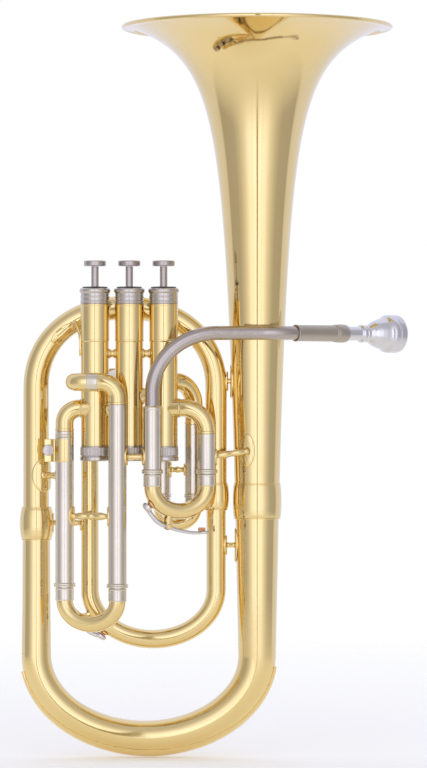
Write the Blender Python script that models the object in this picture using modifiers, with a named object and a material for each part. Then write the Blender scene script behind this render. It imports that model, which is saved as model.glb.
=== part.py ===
"""An E flat band horn of the baritone family, as an assembly of its separate pieces.

Every length is in millimetres until MM turns it into metres. The lowest point of the bow guard is
at the origin, X = 0 lies midway between the two big legs to a millimetre, the big tubes lie in
the plane Y = 0, the valves and slides stand in front of it at -Y, and the bell opens towards +Z.
"""

import math

import bmesh
import bpy
from mathutils import Matrix, Vector

MM = 0.001
UP = Vector((0, 0, 1))
DOWN = Vector((0, 0, -1))
RIGHT = Vector((1, 0, 0))
LEFT = Vector((-1, 0, 0))
FRONT = Vector((0, -1, 0))

# Clearances and walls
GAP = 0.3  # between pieces that are soldered or screwed together
TUBE_WALL = 0.4
BIG_WALL = 0.6

# Bell: a long cone that turns into a wide flare
BELL_X = 83.9
BELL_TOP = 551.5
BELL_JOINT = 193.0
BELL_THROAT_R = 15.24
BELL_CONE_SLOPE = 0.01067
FLARE_SIZE = 2787.0
FLARE_SHIFT = 28.0
FLARE_POWER = 1.05
RIM_BEAD_R = 1.6
RIM_BEAD_INSET = 1.2

# Bottom bow and its guard
LEFT_LEG_X = -82.7
BOW_CENTRE_X = 0.6
BOW_HALF_WIDTH = 83.3
BEND_JOIN_Z = 125.0
BOW_CENTRE_Z = 76.6
BOW_DEPTH = 62.2
BOW_LEFT_TOP = 176.0
BOW_TAPER = ((0, 10.3), (60, 10.6), (345, 14.5), (447, 16.75))
GUARD_PROUD = 1.5
GUARD_WALL = 1.2
GUARD_CUT_HALF_WIDTH = 96.5
GUARD_CUT_DEPTH = 71.6
GUARD_CUT_X = 2.1
GUARD_TOP = 66.5

# Top bow and small bow
TOP_CENTRE = Vector((-14.95, 0, 278.2))
TOP_HALF_WIDTH = 67.95
TOP_RISE = 60.5
TOP_SQUARENESS = 0.93  # 1 is a plain half ellipse, and less is squarer
TOP_TAPER = ((0, 9.75), (102, 9.6), (150, 9.1), (203, 8.95), (290, 8.2), (386, 8.1))
RIGHT_LEG_X = 53.0
RIGHT_JOINT = 196.6
SMALL_CENTRE = Vector((5.35, 0, 126.1))
SMALL_HALF_WIDTH = 47.65
SMALL_DEPTH = 37.5
SMALL_TAPER = ((0, 7.35), (70, 7.3), (138, 7.0), (205, 6.6), (340, 6.4))
SMALL_OUTLET_Z = 250.0
SMALL_ELBOW_R = 11.5

# Valves, numbered from the player's side: the first is nearest the mouthpiece
VALVE_Y = -22.0
VALVE_X = {1: 13.6, 2: -12.1, 3: -37.8}
CASING_R = 10.65
UPPER_CASING_R = 11.0
CASING_STEP_Z = 313.4
BORE_R = 9.65
THREAD_R = 9.98
CASING_LOW = 226.9
CAP_SEAT_LOW = 234.9
CAP_SEAT_HIGH = 341.0
CASING_HIGH = 349.0
CAP_R = 11.5
CAP_INNER_R = 10.3
TOP_CAP_HIGH = 353.1
TOP_CAP_CEILING = 350.0
BOTTOM_CAP_LOW = 223.5
BOTTOM_CAP_FLOOR = 225.0
STRUT_Z = 304.0
STROKE = 14.5
PISTON_R = 9.45
PISTON_LOW = 242.0
PISTON_HIGH = 300.0
BARREL_R = 8.5
BARREL_HIGH = 338.0
CHAMBER_R = 6.5
CHAMBER_LOW = 300.5
CHAMBER_HIGH = 336.0
GUIDE_LOW = 303.2
GUIDE_HEIGHT = 2.8
GUIDE_WING_WIDTH = 3.2
STEM_R = 2.85
BUTTON_LOW = 369.4
BUTTON_HIGH = 373.6
BUTTON_R = 8.35
SPRING_COIL_R = 5.5
SPRING_WIRE_R = 0.45
SPRING_TURNS = 5

# Small tubes: slides run inside their sockets
SOCKET_R = 6.85
ELBOW_R = 6.7
SLIDE_R = 6.15
RING_R = 8.1
SLIM_RING_R = 7.5
RING_HEIGHT = 2.8
PASSAGE_R = 5.6
PISTON_PASSAGE_R = 4.3
PASSAGE_STEPS = (0, 0.35, 0.65, 1)

# Port heights on each valve
INLET_Z = 263.2
FIRST_CROSSOVER_Z = 272.2
SECOND_CROSSOVER_Z = 262.1
INLET_Y = -25.5
FIRST_UPPER_Z = 283.2
FIRST_LOWER_Z = 262.0
SECOND_UPPER_Z = 285.0
SECOND_LOWER_Z = 256.0
THIRD_UPPER_Z = 282.6
THIRD_LOWER_Z = 263.0
THIRD_UPPER_Y = -23.0

# Where each slide's two legs stand (x, y), and the heights along them
TUNING_LEGS = (Vector((5.44, -41.0, 0)), Vector((46.0, INLET_Y, 0)))
THIRD_LEGS = (Vector((-60.4, INLET_Y, 0)), Vector((-20.5, -41.0, 0)))
FIRST_LEGS = (Vector((11.8, 0, 0)), Vector((36.2, -3.5, 0)))
SECOND_WAY = Vector((-0.342, 0.94, 0)).normalized()
TUNING_RING_Z = 214.4
TUNING_BOW_Z = 205.0
TUNING_BOW_DEPTH = 18.8
THIRD_RING_Z = 129.5
THIRD_BOW_Z = 119.5
THIRD_BOW_DEPTH = 17.5
FIRST_RING_Z = 195.5
FIRST_BOW_Z = 189.0
FIRST_BOW_DEPTH = 12.5
TUNING_TOPS = (259.0, 241.0)
THIRD_TOPS = (236.0, 236.0)
FIRST_TOPS = (246.0, 246.0)
TUNING_ELBOW = 17.5
THIRD_LEFT_ELBOW = 11.0
THIRD_RIGHT_ELBOW = 12.3
THIRD_TURN_X = -43.85
FIRST_LEFT_ELBOW = 11.0
FIRST_RIGHT_ELBOW = 18.0
SECOND_RING_T = 40.5
SECOND_BOW_T = 46.0
SECOND_LEG_T = 14.0

# Leadpipe, receiver and mouthpiece
LEADPIPE_RISE_Z = 274.5
LEADPIPE_HALF_WIDTH = 48.4
LEADPIPE_RISE = 44.7
LEADPIPE_TURN_X = 88.0  # here it starts to curve back round the bell
LEADPIPE_TURN_R = 38.0
LEADPIPE_TURN = 35
LEADPIPE_END = 15.0  # this and the next are distances along the straight end from the curve
LEADPIPE_TAPER = ((0, 5.45), (90, 5.3), (200, 5.0))
RECEIVER_START = 2.6
RECEIVER_END = 50.1
SHANK_START = 27.0

# Lyre holder on the third slide's left socket
LYRE_LOW = 222.8
LYRE_HIGH = 240.2
LYRE_BOX_X = (-75.6, -66.0)
LYRE_BOX_HALF_Y = 3.7
LYRE_HOLE_X = -72.3
LYRE_HOLE = 5.0
LYRE_SCREW_Z = 231.8

# Braces
TOP_BRACE_ANGLE = 44  # where it meets the top bow, from the bow's left end

# Water keys: in each key's own plane, (distance along the plane, height)
KEY_ROD_R = 1.35
KEY_BARREL_R = 2.3
KEY_BARREL_HALF = 2.9
KEY_PIN_R = 0.8
KEY_PIN_HOLE_R = 1.0
KEY_EAR = 1.2

# Every finish: colour, roughness, metallic
FINISHES = {
    "lacquered_brass": ((0.83, 0.62, 0.25), 0.16, 1.0),
    "nickel_silver": ((0.66, 0.61, 0.57), 0.24, 1.0),
    "silver_plate": ((0.80, 0.81, 0.84), 0.12, 1.0),
    "spring_steel": ((0.52, 0.53, 0.55), 0.3, 1.0),
    "valve_metal": ((0.60, 0.58, 0.54), 0.35, 1.0),
}


def clear_scene():
    for item in list(bpy.data.objects):
        bpy.data.objects.remove(item, do_unlink=True)


def new_collection(name):
    made = bpy.data.collections.new(name)
    bpy.context.scene.collection.children.link(made)
    return made


clear_scene()
HORN = new_collection("baritone_horn")
CUTTERS = new_collection("cutters")
CUTTERS.hide_render = True


def material(name, finish):
    """A material of the object's own, from its finish."""
    colour, roughness, metallic = FINISHES[finish]
    made = bpy.data.materials.new(name)
    made.use_nodes = True
    shader = made.node_tree.nodes["Principled BSDF"]
    shader.inputs["Base Color"].default_value = (*colour, 1)
    shader.inputs["Roughness"].default_value = roughness
    shader.inputs["Metallic"].default_value = metallic
    return made


def part(item, finish):
    """Gives a finished sub-part its material and smooth shading."""
    item.data.materials.clear()
    item.data.materials.append(material(item.name, finish))
    item.data.shade_smooth()
    item.data.set_sharp_from_angle(angle=math.radians(35))
    return item


def made_cutter(item):
    """Turns an object into a hidden operand of a Boolean."""
    HORN.objects.unlink(item)
    CUTTERS.objects.link(item)
    item.hide_render = True
    item.display_type = "WIRE"
    return item


def boolean(target, other, operation):
    modifier = target.modifiers.new(other.name, "BOOLEAN")
    modifier.object = made_cutter(other)
    modifier.operation = operation
    modifier.solver = "EXACT"


def join(target, *others):
    for other in others:
        boolean(target, other, "UNION")


def cut(target, *others):
    for other in others:
        boolean(target, other, "DIFFERENCE")


def set_origin(item, point):
    """Moves an object's origin to a point, without moving its mesh."""
    place = Vector(point) * MM
    item.data.transform(Matrix.Translation(item.location - place))
    item.location = place
    return item


# Paths: lists of points that tubes follow


def arc(centre, first, second, start, stop, count):
    """Points centre + first cos(angle) + second sin(angle), the angle in degrees."""
    angles = [math.radians(start + (stop - start) * i / count) for i in range(count + 1)]
    return [centre + first * math.cos(a) + second * math.sin(a) for a in angles]


def elbow(corner, along, turned_to, radius, count=3):
    """A quarter bend at a corner, coming in along one direction and leaving along another."""
    centre = corner - along * radius + turned_to * radius
    return arc(centre, turned_to * -radius, along * radius, 0, 90, count)


def tapered(points, keys):
    """A radius for each point, from (distance along the path, radius) keys."""
    radii = []
    gone = 0.0
    for i, point in enumerate(points):
        gone += (point - points[i - 1]).length if i else 0.0
        radii.append(between(keys, gone))
    return radii


def between(keys, at):
    """Straight-line value between (place, value) keys."""
    for (low, low_value), (high, high_value) in zip(keys, keys[1:]):
        if at <= high:
            share = max(0.0, (at - low) / (high - low))
            return low_value + (high_value - low_value) * share
    return keys[-1][1]


# Solids


def meshed(curve):
    """The mesh object of a curve, with its caps welded on."""
    guide = bpy.data.objects.new(curve.name + "_curve", curve)
    HORN.objects.link(guide)
    bpy.context.view_layer.update()
    graph = bpy.context.evaluated_depsgraph_get()
    mesh = bpy.data.meshes.new_from_object(guide.evaluated_get(graph))
    place = guide.matrix_world.copy()
    bpy.data.objects.remove(guide, do_unlink=True)
    shape = bmesh.new()
    shape.from_mesh(mesh)
    bmesh.ops.remove_doubles(shape, verts=shape.verts, dist=1e-6)
    shape.to_mesh(mesh)
    shape.free()
    item = bpy.data.objects.new(curve.name, mesh)
    item.matrix_world = place
    HORN.objects.link(item)
    return item


def rod(name, points, radii, sides=10, capped=True):
    """A round rod swept along points, with a radius at each."""
    curve = bpy.data.curves.new(name, "CURVE")
    curve.dimensions = "3D"
    curve.bevel_depth = MM
    curve.bevel_resolution = sides // 2 - 2
    curve.use_fill_caps = capped
    spline = curve.splines.new("POLY")
    spline.points.add(len(points) - 1)
    for knot, point, radius in zip(spline.points, points, radii):
        knot.co = (*(point * MM), 1)
        knot.radius = radius
    return meshed(curve)


def tube(name, points, radii, sides=10, wall=TUBE_WALL):
    """A round tube, open at both ends, whose outer radius is given at each point."""
    item = rod(name, points, radii, sides, capped=False)
    shell = item.modifiers.new("wall", "SOLIDIFY")
    shell.thickness = wall * MM
    shell.offset = -1
    return item


def turned(name, profile, centre=Vector(), along=UP, sides=16):
    """A (radius, height) profile turned about the axis through centre.

    The profile runs down its outer side. It is closed into a ring unless it ends on the axis.
    """
    mesh = bpy.data.meshes.new(name)
    points = [(radius * MM, 0, height * MM) for radius, height in profile]
    edges = [(i, i + 1) for i in range(len(points) - 1)]
    if profile[0][0] or profile[-1][0]:
        edges.append((len(points) - 1, 0))
    mesh.from_pydata(points, edges, [])
    item = bpy.data.objects.new(name, mesh)
    item.location = centre * MM
    item.rotation_euler = along.to_track_quat("Z", "Y").to_euler()
    HORN.objects.link(item)
    lathe = item.modifiers.new("lathe", "SCREW")
    lathe.steps = sides
    lathe.render_steps = sides
    lathe.use_merge_vertices = True
    lathe.merge_threshold = 0.00001
    lathe.use_smooth_shade = True
    return item


def cylinder(name, start, end, radius, sides=16):
    """A solid cylinder between two points."""
    shape = bmesh.new()
    axis = end - start
    turn = axis.to_track_quat("Z", "Y").to_matrix().to_4x4()
    place = Matrix.Translation((start + end) / 2 * MM) @ turn
    bmesh.ops.create_cone(
        shape,
        cap_ends=True,
        segments=sides,
        radius1=radius * MM,
        radius2=radius * MM,
        depth=axis.length * MM,
        matrix=place,
    )
    return from_bmesh(name, shape)


def box(name, centre, size, turn=Matrix.Identity(3)):
    """A solid box, turned about its centre."""
    shape = bmesh.new()
    scale = Matrix.Diagonal((*(Vector(size) * MM), 1))
    place = Matrix.Translation(centre * MM) @ turn.to_4x4() @ scale
    bmesh.ops.create_cube(shape, size=1, matrix=place)
    return from_bmesh(name, shape)


def from_bmesh(name, shape):
    mesh = bpy.data.meshes.new(name)
    shape.to_mesh(mesh)
    shape.free()
    item = bpy.data.objects.new(name, mesh)
    HORN.objects.link(item)
    return item


def ferrule(name, centre, inner, outer, bulge, low, high, sides):
    """A slightly barrel-shaped sleeve over the joint of two tubes."""
    middle = (low + high) / 2
    profile = [(outer, high), (bulge, middle), (outer, low), (inner, low), (inner, high)]
    return part(turned(name, profile, centre, UP, sides), "lacquered_brass")


# Bell and main tubes


def bell_radius(height):
    drop = BELL_TOP - height
    flare = FLARE_SIZE / (drop + FLARE_SHIFT) ** FLARE_POWER
    return BELL_THROAT_R - BELL_CONE_SLOPE * drop + flare


def bell_slope(height):
    """How fast the bell's radius grows with height."""
    step = 0.01
    return (bell_radius(height + step) - bell_radius(height - step)) / (2 * step)


def bell_wall_point(height, wall):
    """The point (radius, height) that lies a wall's thickness inside the bell's outer skin."""
    slope = bell_slope(height)
    size = math.hypot(1, slope)
    return (bell_radius(height) - wall / size, height + wall * slope / size)


def make_bell():
    drops = [2.2, 5, 9, 15, 24, 38, 62, 100, 160, 250, BELL_TOP - BELL_JOINT - GAP / 2]
    skin = [(bell_radius(BELL_TOP - drop), BELL_TOP - drop) for drop in drops]
    lining = [bell_wall_point(BELL_TOP - drop, BIG_WALL) for drop in drops]
    bead = bell_radius(BELL_TOP) + RIM_BEAD_INSET
    rim = [(bead - 2.6, BELL_TOP + 0.5), (bead, BELL_TOP + 0.5)]
    rim += [(bead + RIM_BEAD_R, BELL_TOP - 0.6), (bead + 0.9, BELL_TOP - 2.2)]
    bell = turned("bell", rim + skin + lining[::-1], Vector((BELL_X, 0, 0)), UP, 24)
    part(bell, "lacquered_brass")
    centre = Vector((BELL_X, 0, 0))
    ferrule("bell_ferrule", centre, 17.45, 17.85, 18.1, 179.5, 206.6, 24)


def bow_path(left_top, right_top, count=12):
    """The big bow: down the left leg, round the half ellipse and up the right leg."""
    centre = Vector((BOW_CENTRE_X, 0, BOW_CENTRE_Z))
    bend = arc(centre, LEFT * BOW_HALF_WIDTH, DOWN * BOW_DEPTH, 0, 180, count)
    left = [Vector((LEFT_LEG_X, 0, left_top)), Vector((LEFT_LEG_X, 0, BEND_JOIN_Z))]
    return left + bend + [Vector((BELL_X, 0, BEND_JOIN_Z)), Vector((BELL_X, 0, right_top))]


def make_bottom_bow():
    path = bow_path(BOW_LEFT_TOP, BELL_JOINT - GAP / 2)
    bow = tube("bottom_bow", path, tapered(path, BOW_TAPER), 16, BIG_WALL)
    part(bow, "lacquered_brass")


def make_bow_guard():
    """The outer strip of a sleeve round the bow: an ellipse cuts its inner side away."""
    path = bow_path(BOW_LEFT_TOP, BELL_JOINT)
    radii = [radius + GUARD_PROUD for radius in tapered(path, BOW_TAPER)]
    guard = tube("bow_guard", path[1:-1], radii[1:-1], 16, GUARD_WALL)
    plate = elliptic_plate(GUARD_CUT_X, GUARD_CUT_HALF_WIDTH, GUARD_CUT_DEPTH)
    top = box("guard_top", Vector((0, 0, GUARD_TOP + 50)), (300, 80, 100))
    cut(guard, plate, top)
    part(guard, "lacquered_brass")


def elliptic_plate(middle, half_width, depth):
    """A thick elliptical plate in the plane of the bow, as a cutter."""
    shape = bmesh.new()
    turn = Matrix.Rotation(math.radians(90), 4, "X")
    scale = Matrix.Diagonal((half_width * MM, depth * MM, 1, 1))
    place = Matrix.Translation(Vector((middle, 0, BOW_CENTRE_Z)) * MM) @ turn @ scale
    bmesh.ops.create_cone(
        shape, cap_ends=True, segments=64, radius1=1, radius2=1, depth=0.08, matrix=place
    )
    return from_bmesh("guard_plate", shape)


def top_bow_point(angle):
    """A point of the top bow's centre line, the angle running from its left end."""
    turn = math.radians(angle)
    across = math.copysign(abs(math.cos(turn)) ** TOP_SQUARENESS, math.cos(turn))
    rise = abs(math.sin(turn)) ** TOP_SQUARENESS
    return TOP_CENTRE + LEFT * TOP_HALF_WIDTH * across + UP * TOP_RISE * rise


def make_top_bow():
    left = TOP_CENTRE.x - TOP_HALF_WIDTH
    bend = [top_bow_point(180 * i / 10) for i in range(11)]
    start = Vector((left, 0, BOW_LEFT_TOP + GAP))
    path = [start] + bend + [Vector((RIGHT_LEG_X, 0, RIGHT_JOINT + GAP / 2))]
    bow = tube("top_bow", path, tapered(path, TOP_TAPER), 14, BIG_WALL)
    part(bow, "lacquered_brass")
    middle = Vector((LEFT_LEG_X + 0.2, 0, 0))
    ferrule("left_ferrule", middle, 10.95, 11.7, 12.45, 163.5, 188.5, 16)
    middle = Vector((RIGHT_LEG_X, 0, 0))
    ferrule("right_ferrule", middle, 8.45, 8.7, 9.05, 186, 207, 14)


def valve_axis(number, height=0.0):
    return Vector((VALVE_X[number], VALVE_Y, height))


def flat_way(start, end):
    """The level direction from one point to another."""
    way = end - start
    way.z = 0
    return way.normalized()


def casing_clearance(name, number):
    """What a tube that ends on a valve casing must leave free for it."""
    low = valve_axis(number, CASING_LOW)
    return cylinder(name, low, valve_axis(number, CASING_HIGH), CASING_R + GAP, 24)


def make_small_bow():
    left_x = SMALL_CENTRE.x - SMALL_HALF_WIDTH
    bend = arc(SMALL_CENTRE, RIGHT * SMALL_HALF_WIDTH, DOWN * SMALL_DEPTH, 0, 180, 10)
    start = Vector((RIGHT_LEG_X, 0, RIGHT_JOINT - GAP / 2))
    corner = Vector((left_x, 0, SMALL_OUTLET_Z))
    inwards = flat_way(corner, valve_axis(3))
    path = [start] + bend + elbow(corner, UP, inwards, SMALL_ELBOW_R)
    path.append(valve_axis(3, SMALL_OUTLET_Z))
    bow = tube("small_bow", path, tapered(path, SMALL_TAPER), 12)
    cut(bow, casing_clearance("small_bow_end", 3))
    return bow


# Slides and their sockets


def socket(name, bottom, corner, way, bend, rest, ring=RING_R, valve=None):
    """The tube that a slide's leg runs in: a ring, the socket, an elbow and the way to a valve."""
    shoulder = corner - UP * (bend + 1)
    collar = bottom + UP * RING_HEIGHT
    path = [bottom, collar, collar + UP * 0.6, shoulder]
    radii = [ring, ring, SOCKET_R, SOCKET_R]
    path += elbow(corner, UP, way, bend) + rest
    radii += [ELBOW_R] * (len(path) - len(radii))
    item = tube(name, path, radii)
    cut(item, casing_clearance(name + "_end", valve))
    return part(item, "lacquered_brass")


def slide_path(legs, tops, bow_z, depth, count=8):
    """The points of a U of tube that hangs from two legs."""
    left, right = legs
    half = (right - left) / 2
    bend = arc(left + half + UP * bow_z, -half, DOWN * depth, 0, 180, count)
    return [left + UP * tops[0]] + bend + [right + UP * tops[1]]


def slide_tube(name, path):
    return tube(name, path, [SLIDE_R] * len(path))


def make_tuning():
    left, right = TUNING_LEGS
    sleeve_top = 265.0
    profile = [(SOCKET_R, sleeve_top), (SOCKET_R, TUNING_RING_Z + RING_HEIGHT + 0.6)]
    profile += [(RING_R, TUNING_RING_Z + RING_HEIGHT), (RING_R, TUNING_RING_Z)]
    profile += [(SOCKET_R - TUBE_WALL, TUNING_RING_Z), (SOCKET_R - TUBE_WALL, sleeve_top - 3)]
    profile += [(5.75, sleeve_top - 3), (5.75, sleeve_top)]
    part(turned("tuning_socket_left", profile, left, UP, 14), "nickel_silver")
    corner = right + UP * INLET_Z
    end = [Vector((VALVE_X[1], INLET_Y, INLET_Z))]
    start = right + UP * TUNING_RING_Z
    socket("tuning_socket_right", start, corner, LEFT, TUNING_ELBOW, end, RING_R, 1)
    path = slide_path(TUNING_LEGS, TUNING_TOPS, TUNING_BOW_Z, TUNING_BOW_DEPTH)
    return part(slide_tube("tuning_slide", path), "nickel_silver")


def make_third():
    left, right = THIRD_LEGS
    corner = left + UP * THIRD_LOWER_Z
    end = [Vector((VALVE_X[3], left.y, THIRD_LOWER_Z))]
    start = left + UP * THIRD_RING_Z
    socket("third_socket_left", start, corner, RIGHT, THIRD_LEFT_ELBOW, end, RING_R, 3)
    corner = right + UP * THIRD_UPPER_Z
    turn_y = (right.y + THIRD_UPPER_Y) / 2
    turn_r = (THIRD_UPPER_Y - right.y) / 2
    centre = Vector((THIRD_TURN_X, turn_y, THIRD_UPPER_Z))
    rest = arc(centre, FRONT * turn_r, LEFT * turn_r, 0, 180, 8)
    rest.append(Vector((VALVE_X[3], THIRD_UPPER_Y, THIRD_UPPER_Z)))
    start = right + UP * THIRD_RING_Z
    socket("third_socket_right", start, corner, LEFT, THIRD_RIGHT_ELBOW, rest, RING_R, 3)
    path = slide_path(THIRD_LEGS, THIRD_TOPS, THIRD_BOW_Z, THIRD_BOW_DEPTH)
    part(slide_tube("third_slide", path), "nickel_silver")


def make_first():
    left, right = FIRST_LEGS
    for name, leg, height, bend in (
        ("first_socket_left", left, FIRST_LOWER_Z, FIRST_LEFT_ELBOW),
        ("first_socket_right", right, FIRST_UPPER_Z, FIRST_RIGHT_ELBOW),
    ):
        inwards = flat_way(leg, valve_axis(1))
        end = [valve_axis(1, height)]
        corner = leg + UP * height
        socket(name, leg + UP * FIRST_RING_Z, corner, inwards, bend, end, SLIM_RING_R, 1)
    path = slide_path(FIRST_LEGS, FIRST_TOPS, FIRST_BOW_Z, FIRST_BOW_DEPTH)
    part(slide_tube("first_slide", path), "nickel_silver")


def make_second():
    """The short slide behind the middle valve, one leg above the other."""
    for name, height in (
        ("second_socket_upper", SECOND_UPPER_Z),
        ("second_socket_lower", SECOND_LOWER_Z),
    ):
        hub = valve_axis(2, height)
        stops = (SECOND_RING_T, SECOND_RING_T - RING_HEIGHT, SECOND_RING_T - RING_HEIGHT - 0.6)
        path = [hub + SECOND_WAY * stop for stop in stops] + [hub]
        item = tube(name, path, [RING_R, RING_R, SOCKET_R, SOCKET_R])
        cut(item, casing_clearance(name + "_end", 2))
        part(item, "lacquered_brass")
    middle = (SECOND_UPPER_Z + SECOND_LOWER_Z) / 2
    half = (SECOND_UPPER_Z - SECOND_LOWER_Z) / 2
    hub = valve_axis(2)
    centre = hub + SECOND_WAY * SECOND_BOW_T + UP * middle
    bend = arc(centre, UP * half, SECOND_WAY * half, 0, 180, 8)
    start = hub + SECOND_WAY * SECOND_LEG_T
    path = [start + UP * SECOND_UPPER_Z] + bend + [start + UP * SECOND_LOWER_Z]
    part(slide_tube("second_slide", path), "nickel_silver")


# Leadpipe, receiver and mouthpiece


def make_leadpipe():
    """It returns where its straight end starts, and which way that points."""
    foot = TUNING_LEGS[0]
    bend_centre = foot + RIGHT * LEADPIPE_HALF_WIDTH + UP * LEADPIPE_RISE_Z
    bend = arc(bend_centre, LEFT * LEADPIPE_HALF_WIDTH, UP * LEADPIPE_RISE, 0, 90, 7)
    centre = Vector((LEADPIPE_TURN_X, bend[-1].y + LEADPIPE_TURN_R, bend[-1].z))
    side = FRONT * LEADPIPE_TURN_R
    turn = arc(centre, side, RIGHT * LEADPIPE_TURN_R, 0, LEADPIPE_TURN, 4)
    angle = math.radians(LEADPIPE_TURN)
    way = RIGHT * math.cos(angle) - FRONT * math.sin(angle)
    path = [foot + UP * 262.4] + bend + turn + [turn[-1] + way * LEADPIPE_END]
    part(tube("leadpipe", path, tapered(path, LEADPIPE_TAPER)), "nickel_silver")
    return turn[-1], way


def make_mouthpiece(start, way):
    """Receiver and mouthpiece, turned about the leadpipe's straight end."""
    last = RECEIVER_END
    profile = [(6.1, last), (6.85, 47.3), (6.85, 42.0), (6.5, 39.6), (6.1, 39.0)]
    profile += [(6.1, 5.0), (6.3, 4.6), (6.3, RECEIVER_START + 0.3), (6.0, RECEIVER_START)]
    profile += [(5.35, RECEIVER_START), (5.35, SHANK_START - 3), (5.6, last)]
    part(turned("mouthpiece_receiver", profile, start, way), "nickel_silver")
    cup = [(9.4, 97.6), (11.0, 99.1), (13.2, 99.0), (14.35, 97.6), (14.35, 88.6)]
    cup += [(13.6, 86.3), (12.0, 84.2), (10.9, 81.0), (8.7, 75.0), (5.3, 70.8)]
    cup += [(6.8, 69.2), (6.8, 63.0), (5.2, 61.6), (5.3, last), (4.7, SHANK_START)]
    bore = [(3.7, SHANK_START), (2.2, 66.0), (2.2, 70.0), (3.6, 75.0), (6.8, 82.0)]
    bore += [(8.6, 90.0), (9.0, 95.0)]
    part(turned("mouthpiece", cup + bore, start, way, 16), "silver_plate")


# Valves


def port(name, number, way, height, sideways=0.0):
    """A round hole through a casing's wall, along a level way out from near its axis."""
    start = valve_axis(number, height) + UP.cross(way) * sideways
    return cylinder(name, start + way * 2, start + way * (CASING_R + 4), PASSAGE_R, 12)


def make_casing(number, ports):
    """A casing: its solid outside, joined to any bridges, then bored and drilled."""
    name = f"valve_{number}_casing"
    profile = [(0, CASING_HIGH), (THREAD_R, CASING_HIGH), (THREAD_R, CAP_SEAT_HIGH)]
    profile += [(UPPER_CASING_R, CAP_SEAT_HIGH), (UPPER_CASING_R, CASING_STEP_Z)]
    profile += [(CASING_R, CASING_STEP_Z - 0.6), (CASING_R, CAP_SEAT_LOW)]
    profile += [(THREAD_R, CAP_SEAT_LOW), (THREAD_R, CASING_LOW), (0, CASING_LOW)]
    casing = turned(name, profile, valve_axis(number), UP, 20)
    if number == 2:
        add_bridges(casing)
    low = valve_axis(number, CASING_LOW - 5)
    cut(casing, cylinder(name + "_bore", low, valve_axis(number, CASING_HIGH + 5), BORE_R, 20))
    for i, (way, height, sideways) in enumerate(ports):
        cut(casing, port(f"{name}_port_{i}", number, way, height, sideways))
    return part(casing, "lacquered_brass")


def add_bridges(casing):
    """The middle casing carries the crossover tubes and the struts to both its neighbours."""
    hub = valve_axis(2)
    for side, way, height in ((3, LEFT, SECOND_CROSSOVER_Z), (1, RIGHT, FIRST_CROSSOVER_Z)):
        far = valve_axis(side)
        level = UP * height
        join(casing, cylinder(f"crossover_{side}", hub + level, far + level, SLIDE_R, 12))
        reach = (far - hub).length
        root = hub + UP * STRUT_Z
        profile = [(0, reach), (3.8, reach), (3.8, reach - 11.6), (2.8, reach - 12.2)]
        profile += [(2.8, 13.4), (3.8, 12.6), (3.8, 0), (0, 0)]
        join(casing, turned(f"strut_{side}", profile, root, way, 12))
        cut(casing, casing_clearance(f"casing_room_{side}", side))


def piston_passage(name, number, start, end):
    """A bent hole through the piston between two ports, each a (way, height) at rest."""
    rim = PISTON_R + 1.5
    first = valve_axis(number, start[1]) + start[0] * rim
    last = valve_axis(number, end[1]) + end[0] * rim
    inner = (start[0] + end[0]) * 2.5
    middle = valve_axis(number, (start[1] + end[1]) / 2) + inner
    path = [first * (1 - t) ** 2 + middle * 2 * t * (1 - t) + last * t**2 for t in PASSAGE_STEPS]
    return rod(name, path, [PISTON_PASSAGE_R] * len(path), 8)


def make_piston(number, passages):
    """Piston body, its passages, and above it the slotted barrel that the spring sits in."""
    name = f"valve_{number}_piston"
    profile = [(0, BARREL_HIGH), (BARREL_R, BARREL_HIGH), (BARREL_R, PISTON_HIGH)]
    profile += [(PISTON_R, PISTON_HIGH), (PISTON_R, PISTON_LOW), (0, PISTON_LOW)]
    piston = turned(name, profile, valve_axis(number), UP, 20)
    low = valve_axis(number, CHAMBER_LOW)
    cut(piston, cylinder(name + "_chamber", low, valve_axis(number, CHAMBER_HIGH), CHAMBER_R, 16))
    slot_low = GUIDE_LOW - 0.7
    slot_high = GUIDE_LOW + GUIDE_HEIGHT + STROKE + 0.7
    middle = valve_axis(number, (slot_low + slot_high) / 2)
    size = (GUIDE_WING_WIDTH + 0.8, 24, slot_high - slot_low)
    cut(piston, box(name + "_slot", middle, size))
    for i, (start, end) in enumerate(passages):
        cut(piston, piston_passage(f"{name}_passage_{i}", number, start, end))
    return part(piston, "valve_metal")


def make_guide(number):
    """The fixed star that keeps the piston from turning and carries the spring."""
    name = f"valve_{number}_guide"
    low = valve_axis(number, GUIDE_LOW)
    high = valve_axis(number, GUIDE_LOW + GUIDE_HEIGHT)
    guide = cylinder(name, low, high, CHAMBER_R - 0.3, 12)
    size = (GUIDE_WING_WIDTH, 2 * (BORE_R - 0.45), GUIDE_HEIGHT - 0.4)
    join(guide, box(name + "_wings", (low + high) / 2, size))
    part(guide, "valve_metal")


def make_spring(number):
    low = GUIDE_LOW + GUIDE_HEIGHT + GAP + SPRING_WIRE_R
    high = CHAMBER_HIGH - GAP - SPRING_WIRE_R
    steps = 7
    points = []
    for i in range(SPRING_TURNS * steps + 1):
        angle = 2 * math.pi * i / steps
        height = low + (high - low) * i / (SPRING_TURNS * steps)
        side = Vector((math.cos(angle), math.sin(angle), 0)) * SPRING_COIL_R
        points.append(valve_axis(number, height) + side)
    wire = rod(f"valve_{number}_spring", points, [SPRING_WIRE_R] * len(points), 4)
    part(wire, "spring_steel")


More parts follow.
